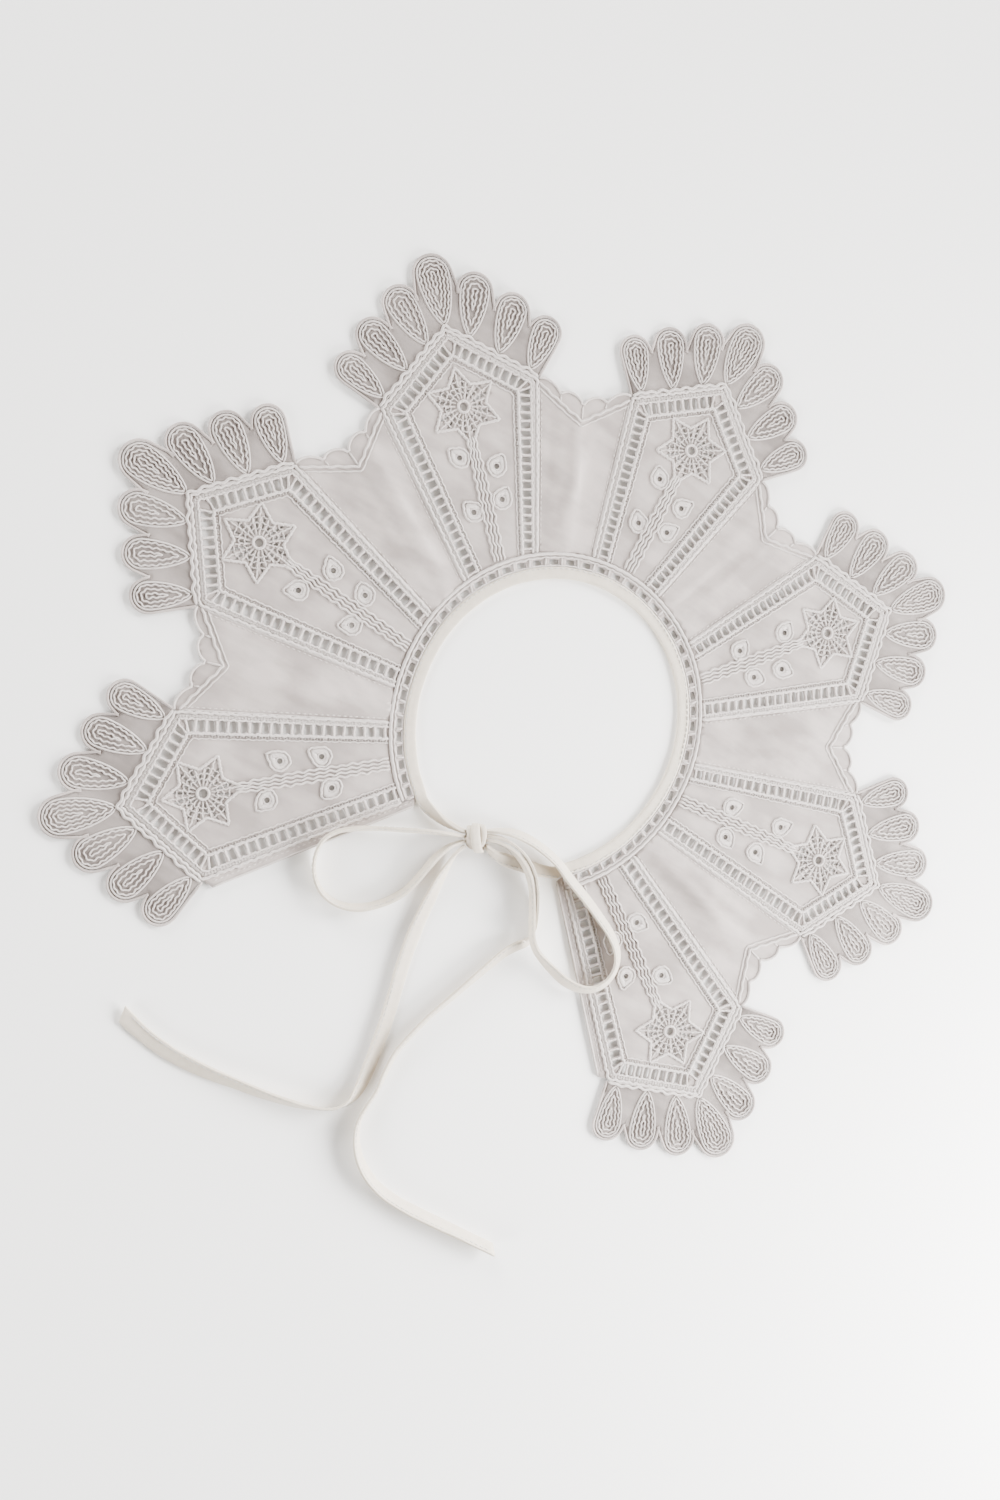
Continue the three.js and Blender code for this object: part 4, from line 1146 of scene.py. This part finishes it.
def gore(index):
    name = f"gore_{index + 1}"
    before, after = panel_angle(index), panel_angle(index + 1)
    middle = (before + after) / 2
    out = NECK_HALF + SEAM
    ends = [place(before, [(neck_along(before, out), out)])[0],
            place(after, [(neck_along(after, -out), -out)])[0]]
    start, stop = (math.atan2(point[0], point[1]) for point in ends)
    corner = place(PITCH / 2, [(SHOULDER, -(SHOULDER_OUT + SEAM))])[0]
    half, high = abs(corner[0]), corner[1]

    def outer(share):
        share = np.asarray(share, float)
        return place(middle, np.stack([scallop_along(share, high), share * half], 1))

    def across_of(line):
        """How far across the gore flat points lie, and how far from the neck."""
        local = np.stack([
            line[:, 0] * math.sin(middle) + line[:, 1] * math.cos(middle),
            line[:, 0] * math.cos(middle) - line[:, 1] * math.sin(middle)], 1)
        reach = (local[:, 0] - neck_radius(middle)) / (FOLD_END - neck_radius(middle))
        neck_half = np.linalg.norm(ends[1] - ends[0]) / 2
        width = neck_half + (half - neck_half) * np.clip(reach, 0, 1)
        return np.clip(local[:, 1] / width / 2 + 0.5, 0, 1), np.clip(reach, 0, 1)

    def folded(line):
        across, reach = across_of(line)
        height = sum(
            tall * np.exp(-((across - spot) / spread) ** 2)
            * (1 + 0.25 * np.sin(reach * 7 + spot * 9)) for spot, spread, tall in FOLDS[index])
        height = height + sum(
            tall * np.exp(-((across - spot - slant * reach) / CREASE_SPREAD) ** 2)
            for spot, slant, tall in CREASES[index % len(CREASES)])
        side = np.minimum(1, 6 * np.minimum(across, 1 - across))
        return ground(line) + height * side * np.sin(math.pi * np.minimum(1, 0.12 + 0.88 * reach))

    shares = np.linspace(-1, 1, 41)
    neck = neck_line(start, stop, 0.0, 9)
    outline = np.vstack([neck, outer(shares)[::-1]])
    edge = even(outline, 1.6, True)
    made = cut_cloth(name, LAWN, "lawn", edge, step=2.4, over=folded)
    work = Piece()

    def lay(points, width, **more):
        lay_cord(work, points, width, over=folded, **more)

    rim = even(outer(np.linspace(-0.985, 0.985, 121)), 1.0)
    lay(rim + sideways(rim) * EDGE_INSET, EDGE_WIDTH, sides=6)
    v_end = high - V_END[0]
    v_line = np.array([(v_end, -half + V_END[1]), (V_MEET, 0.0), (v_end, half - V_END[1])])
    couch(lay, place(middle, v_line), V_CORD)
    couch(lay, place(middle, v_line + V_INNER), V_INNER_CORD)
    for share in (-SCALLOP["middle_at"], 0.0, SCALLOP["middle_at"]):
        tie_up = np.array([
            (float(scallop_along(np.array([share]), high)[0]) - 0.6, share * half),
            (V_MEET + (v_end - V_MEET) * abs(share) + 0.4, share * half * 0.97)])
        lay(place(middle, even(tie_up, 1.2)), 0.9, sides=5)
    for side, angle in ((1, before), (-1, after)):
        out = side * (NECK_HALF + GORE_SEAM)
        seam = np.array([
            (neck_along(angle, out) + 1, out),
            (SHOULDER - 1.5, side * (SHOULDER_OUT + GORE_SEAM))])
        stitch_row(work, place(angle, seam), 1.5, 0.9, 0.5, over=folded)
        fold = seam + np.array([(0, -side * 1.2), (0, -side * 1.2)])
        lay(place(angle, even(fold, 2.4)), 0.7, sides=5)
    embroidery = work.make(f"{name}_embroidery", THREAD, "lawn")
    (high - neck_radius(middle)) * MM
    flat_area(edge)


# ------------------------------------------------------------------ front hems, insertion, binding
# Front hems: width at the neck and at the tip, how far the tip is set back, and the width of
# the flat strip with the part that is turned in.
HEM_NECK, HEM_TIP, HEM_SET_BACK, HEM_FLAT = 3.7, 4.6, 3.5, 10.0
# Eyelets of the insertion: their number, half length and half depth, and how far in they lie.
EYELETS, EYELET_HALF, EYELET_DEPTH, EYELET_INSET = 52, 2.1, 1.3, 4.35
# Cords along the insertion: how far from the neck line they lie, width, and swing; the
# wavelength and step of all three; and the bars between its eyelets.
INSERTION_CORDS = [(-0.75, 1.5, 0.12), (-2.3, 0.8, 0.2), (-5.8, 0.6, 0.08)]
INSERTION_WAVE = (3.9, 1.3)
INSERTION_BAR = dict(start=-2.6, stop=-5.8, width=1.15, pinch=0.6)


def front_hem(name, side):
    angle = panel_angle(0 if side < 0 else PANELS - 1)
    inner = NECK_HALF + SEAM
    neck = neck_along(angle, inner)
    slope = (SHOULDER_OUT - NECK_HALF) / (SHOULDER - neck)

    def edge_out(along):
        return inner + slope * (along - neck)

    start = neck_along(angle, side * edge_out(neck - INSERTION), -INSERTION)
    outline = [
        (start, edge_out(start)), (SHOULDER, edge_out(SHOULDER)),
        (SHOULDER - HEM_SET_BACK, edge_out(SHOULDER - HEM_SET_BACK) + HEM_TIP),
        (start + 0.8, edge_out(start + 0.8) + HEM_NECK)]
    outline = np.array(outline) * np.array([1, side])
    edge = even(place(angle, outline), 1.8, True)
    made = cut_cloth(name, LAWN, "lawn", edge, step=2.0)
    work = Piece()
    rolled = np.array([outline[3] - (0, side * 0.5), outline[2] - (0, side * 0.5)])
    lay_cord(work, place(angle, even(rolled, 2.0)), 0.9, sides=6)
    seam = np.array([outline[0] + (1, side * 1.5), outline[1] + (-2, side * 1.5)])
    stitch_row(work, place(angle, seam), 1.5, 0.9, 0.5)
    sewn = work.make(f"{name}_stitches", THREAD, "lawn")
    (SHOULDER - start) * MM
    flat_area(edge)


def neck_insertion():
    hem_angle = panel_angle(PANELS - 1)
    limit = place(hem_angle, [(neck_along(hem_angle, NECK_HALF), NECK_HALF)])[0]
    end = math.atan2(limit[0], limit[1])
    outline = np.vstack([
        neck_line(-end, end, -SEAM, 150), neck_line(end, -end, -INSERTION, 150)])
    holes = []
    for spot in (np.arange(EYELETS) + 0.5) / EYELETS:
        angle = -end + 2 * end * spot
        reach = neck_radius(angle, -EYELET_INSET)
        half = EYELET_HALF * chance.uniform(0.85, 1.05)
        depth = EYELET_DEPTH * chance.uniform(0.9, 1.05)
        shift = chance.uniform(-0.4, 0.4)
        box = np.array([(-depth, -half), (-depth, half), (depth, half), (depth, -half)])
        holes.append(place(angle, cut_corners(box + (reach, shift), 0.15, 1)))
    made = cut_cloth("neck_insertion", LAWN, "lace", outline, holes, step=2.2)
    work = Piece()
    for offset, width, swing in INSERTION_CORDS:
        line = wavy(neck_line(-end, end, offset, 300), swing, *INSERTION_WAVE)
        lay_cord(work, line, width, sides=6)
    for spot in np.arange(EYELETS + 1) / EYELETS:
        angle = -end + 2 * end * spot
        tilt = chance.uniform(-0.4, 0.4)
        bar = place(angle, even([
            (neck_radius(angle, INSERTION_BAR["start"]), tilt),
            (neck_radius(angle, INSERTION_BAR["stop"]), -tilt)], 1.0))
        lay_cord(work, bar, INSERTION_BAR["width"], sides=5, pinch=INSERTION_BAR["pinch"])
    embroidery = work.make("neck_insertion_embroidery", THREAD, "lace")
    INSERTION * MM * 1.8
    flat_area(outline, holes)


def neck_binding():
    rows = list(LEAD_RIGHT)
    offset = -(INSERTION + SEAM + BINDING_WIDTH / 2)
    for point in neck_line(-BINDING_END, BINDING_END, offset, 31):
        rows.append((point[0], point[1], 0.0, 0.0, BINDING_WIDTH))
    rows += LEAD_LEFT
    tape = Piece()
    swept = fold_tape(tape, rows, BINDING_THICK, per_row=6)
    made = tape.make("neck_binding_tape", TAPE, "tape", "neck_binding")
    stitches = Piece()
    sew_edge(stitches, swept, BINDING_THICK, inset=4.4, faces=(1,))
    sewn = stitches.make("neck_binding_stitches", SEWING, "tape")


for index in range(PANELS):
    panel(index)
    petals(index)
for index in range(PANELS - 1):
    gore(index)
front_hem("front_hem_right", -1)
front_hem("front_hem_left", 1)
neck_insertion()
neck_binding()


# ------------------------------------------------------------------ floor and light
def floor():
    finish = Finish("floor paper", Roughness=0.9, Specular_IOR_Level=0.1)
    tone = finish.noise(finish.millimetres(), scale=0.01)
    finish.vary(Base_Color=finish.blend(tone, tint(0.95, 0.939, 0.921), tint(0.968, 0.959, 0.943)))
    mesh = bpy.data.meshes.new("floor")
    reach = 3.0
    corners = [(-reach, -reach, 0), (reach, -reach, 0), (reach, reach, 0), (-reach, reach, 0)]
    mesh.from_pydata(corners, [], [(0, 1, 2, 3)])
    mesh.materials.append(finish.material)
    made = bpy.data.objects.new("floor", mesh)
    bpy.context.scene.collection.objects.link(made)


def soft_sun(name, height, bearing, strength, softness):
    """A wide soft lamp far away, at a height and a bearing from +Y towards +X, in degrees."""
    light = bpy.data.lights.new(name, "SUN")
    light.energy, light.angle = strength, math.radians(softness)
    made = bpy.data.objects.new(name, light)
    made.rotation_euler = (math.radians(90 - height), 0, math.radians(180 - bearing))
    bpy.context.scene.collection.objects.link(made)


def square_lamp(name, spot, aim, size, power):
    """A square lamp near the table, in metres, so that the light falls off across it."""
    light = bpy.data.lights.new(name, "AREA")
    light.energy, light.size = power, size
    made = bpy.data.objects.new(name, light)
    made.location = spot
    made.rotation_euler = (Vector(aim) - Vector(spot)).to_track_quat("-Z", "Y").to_euler()
    bpy.context.scene.collection.objects.link(made)


floor()
soft_sun("key light", height=25, bearing=40, strength=10.3, softness=30)
for number, bearing in enumerate((220, 310)):
    soft_sun(f"side light {number + 1}", height=16, bearing=bearing, strength=6.0, softness=26)
square_lamp("near light", spot=(0.62, -0.06, 0.24), aim=(0.15, -0.02, 0.0), size=0.3, power=19.0)
world = bpy.data.worlds.new("studio")
world.use_nodes = True
background = world.node_tree.nodes["Background"]
background.inputs["Color"].default_value = tint(1, 0.93, 0.84)
background.inputs["Strength"].default_value = 0.34
bpy.context.scene.world = world
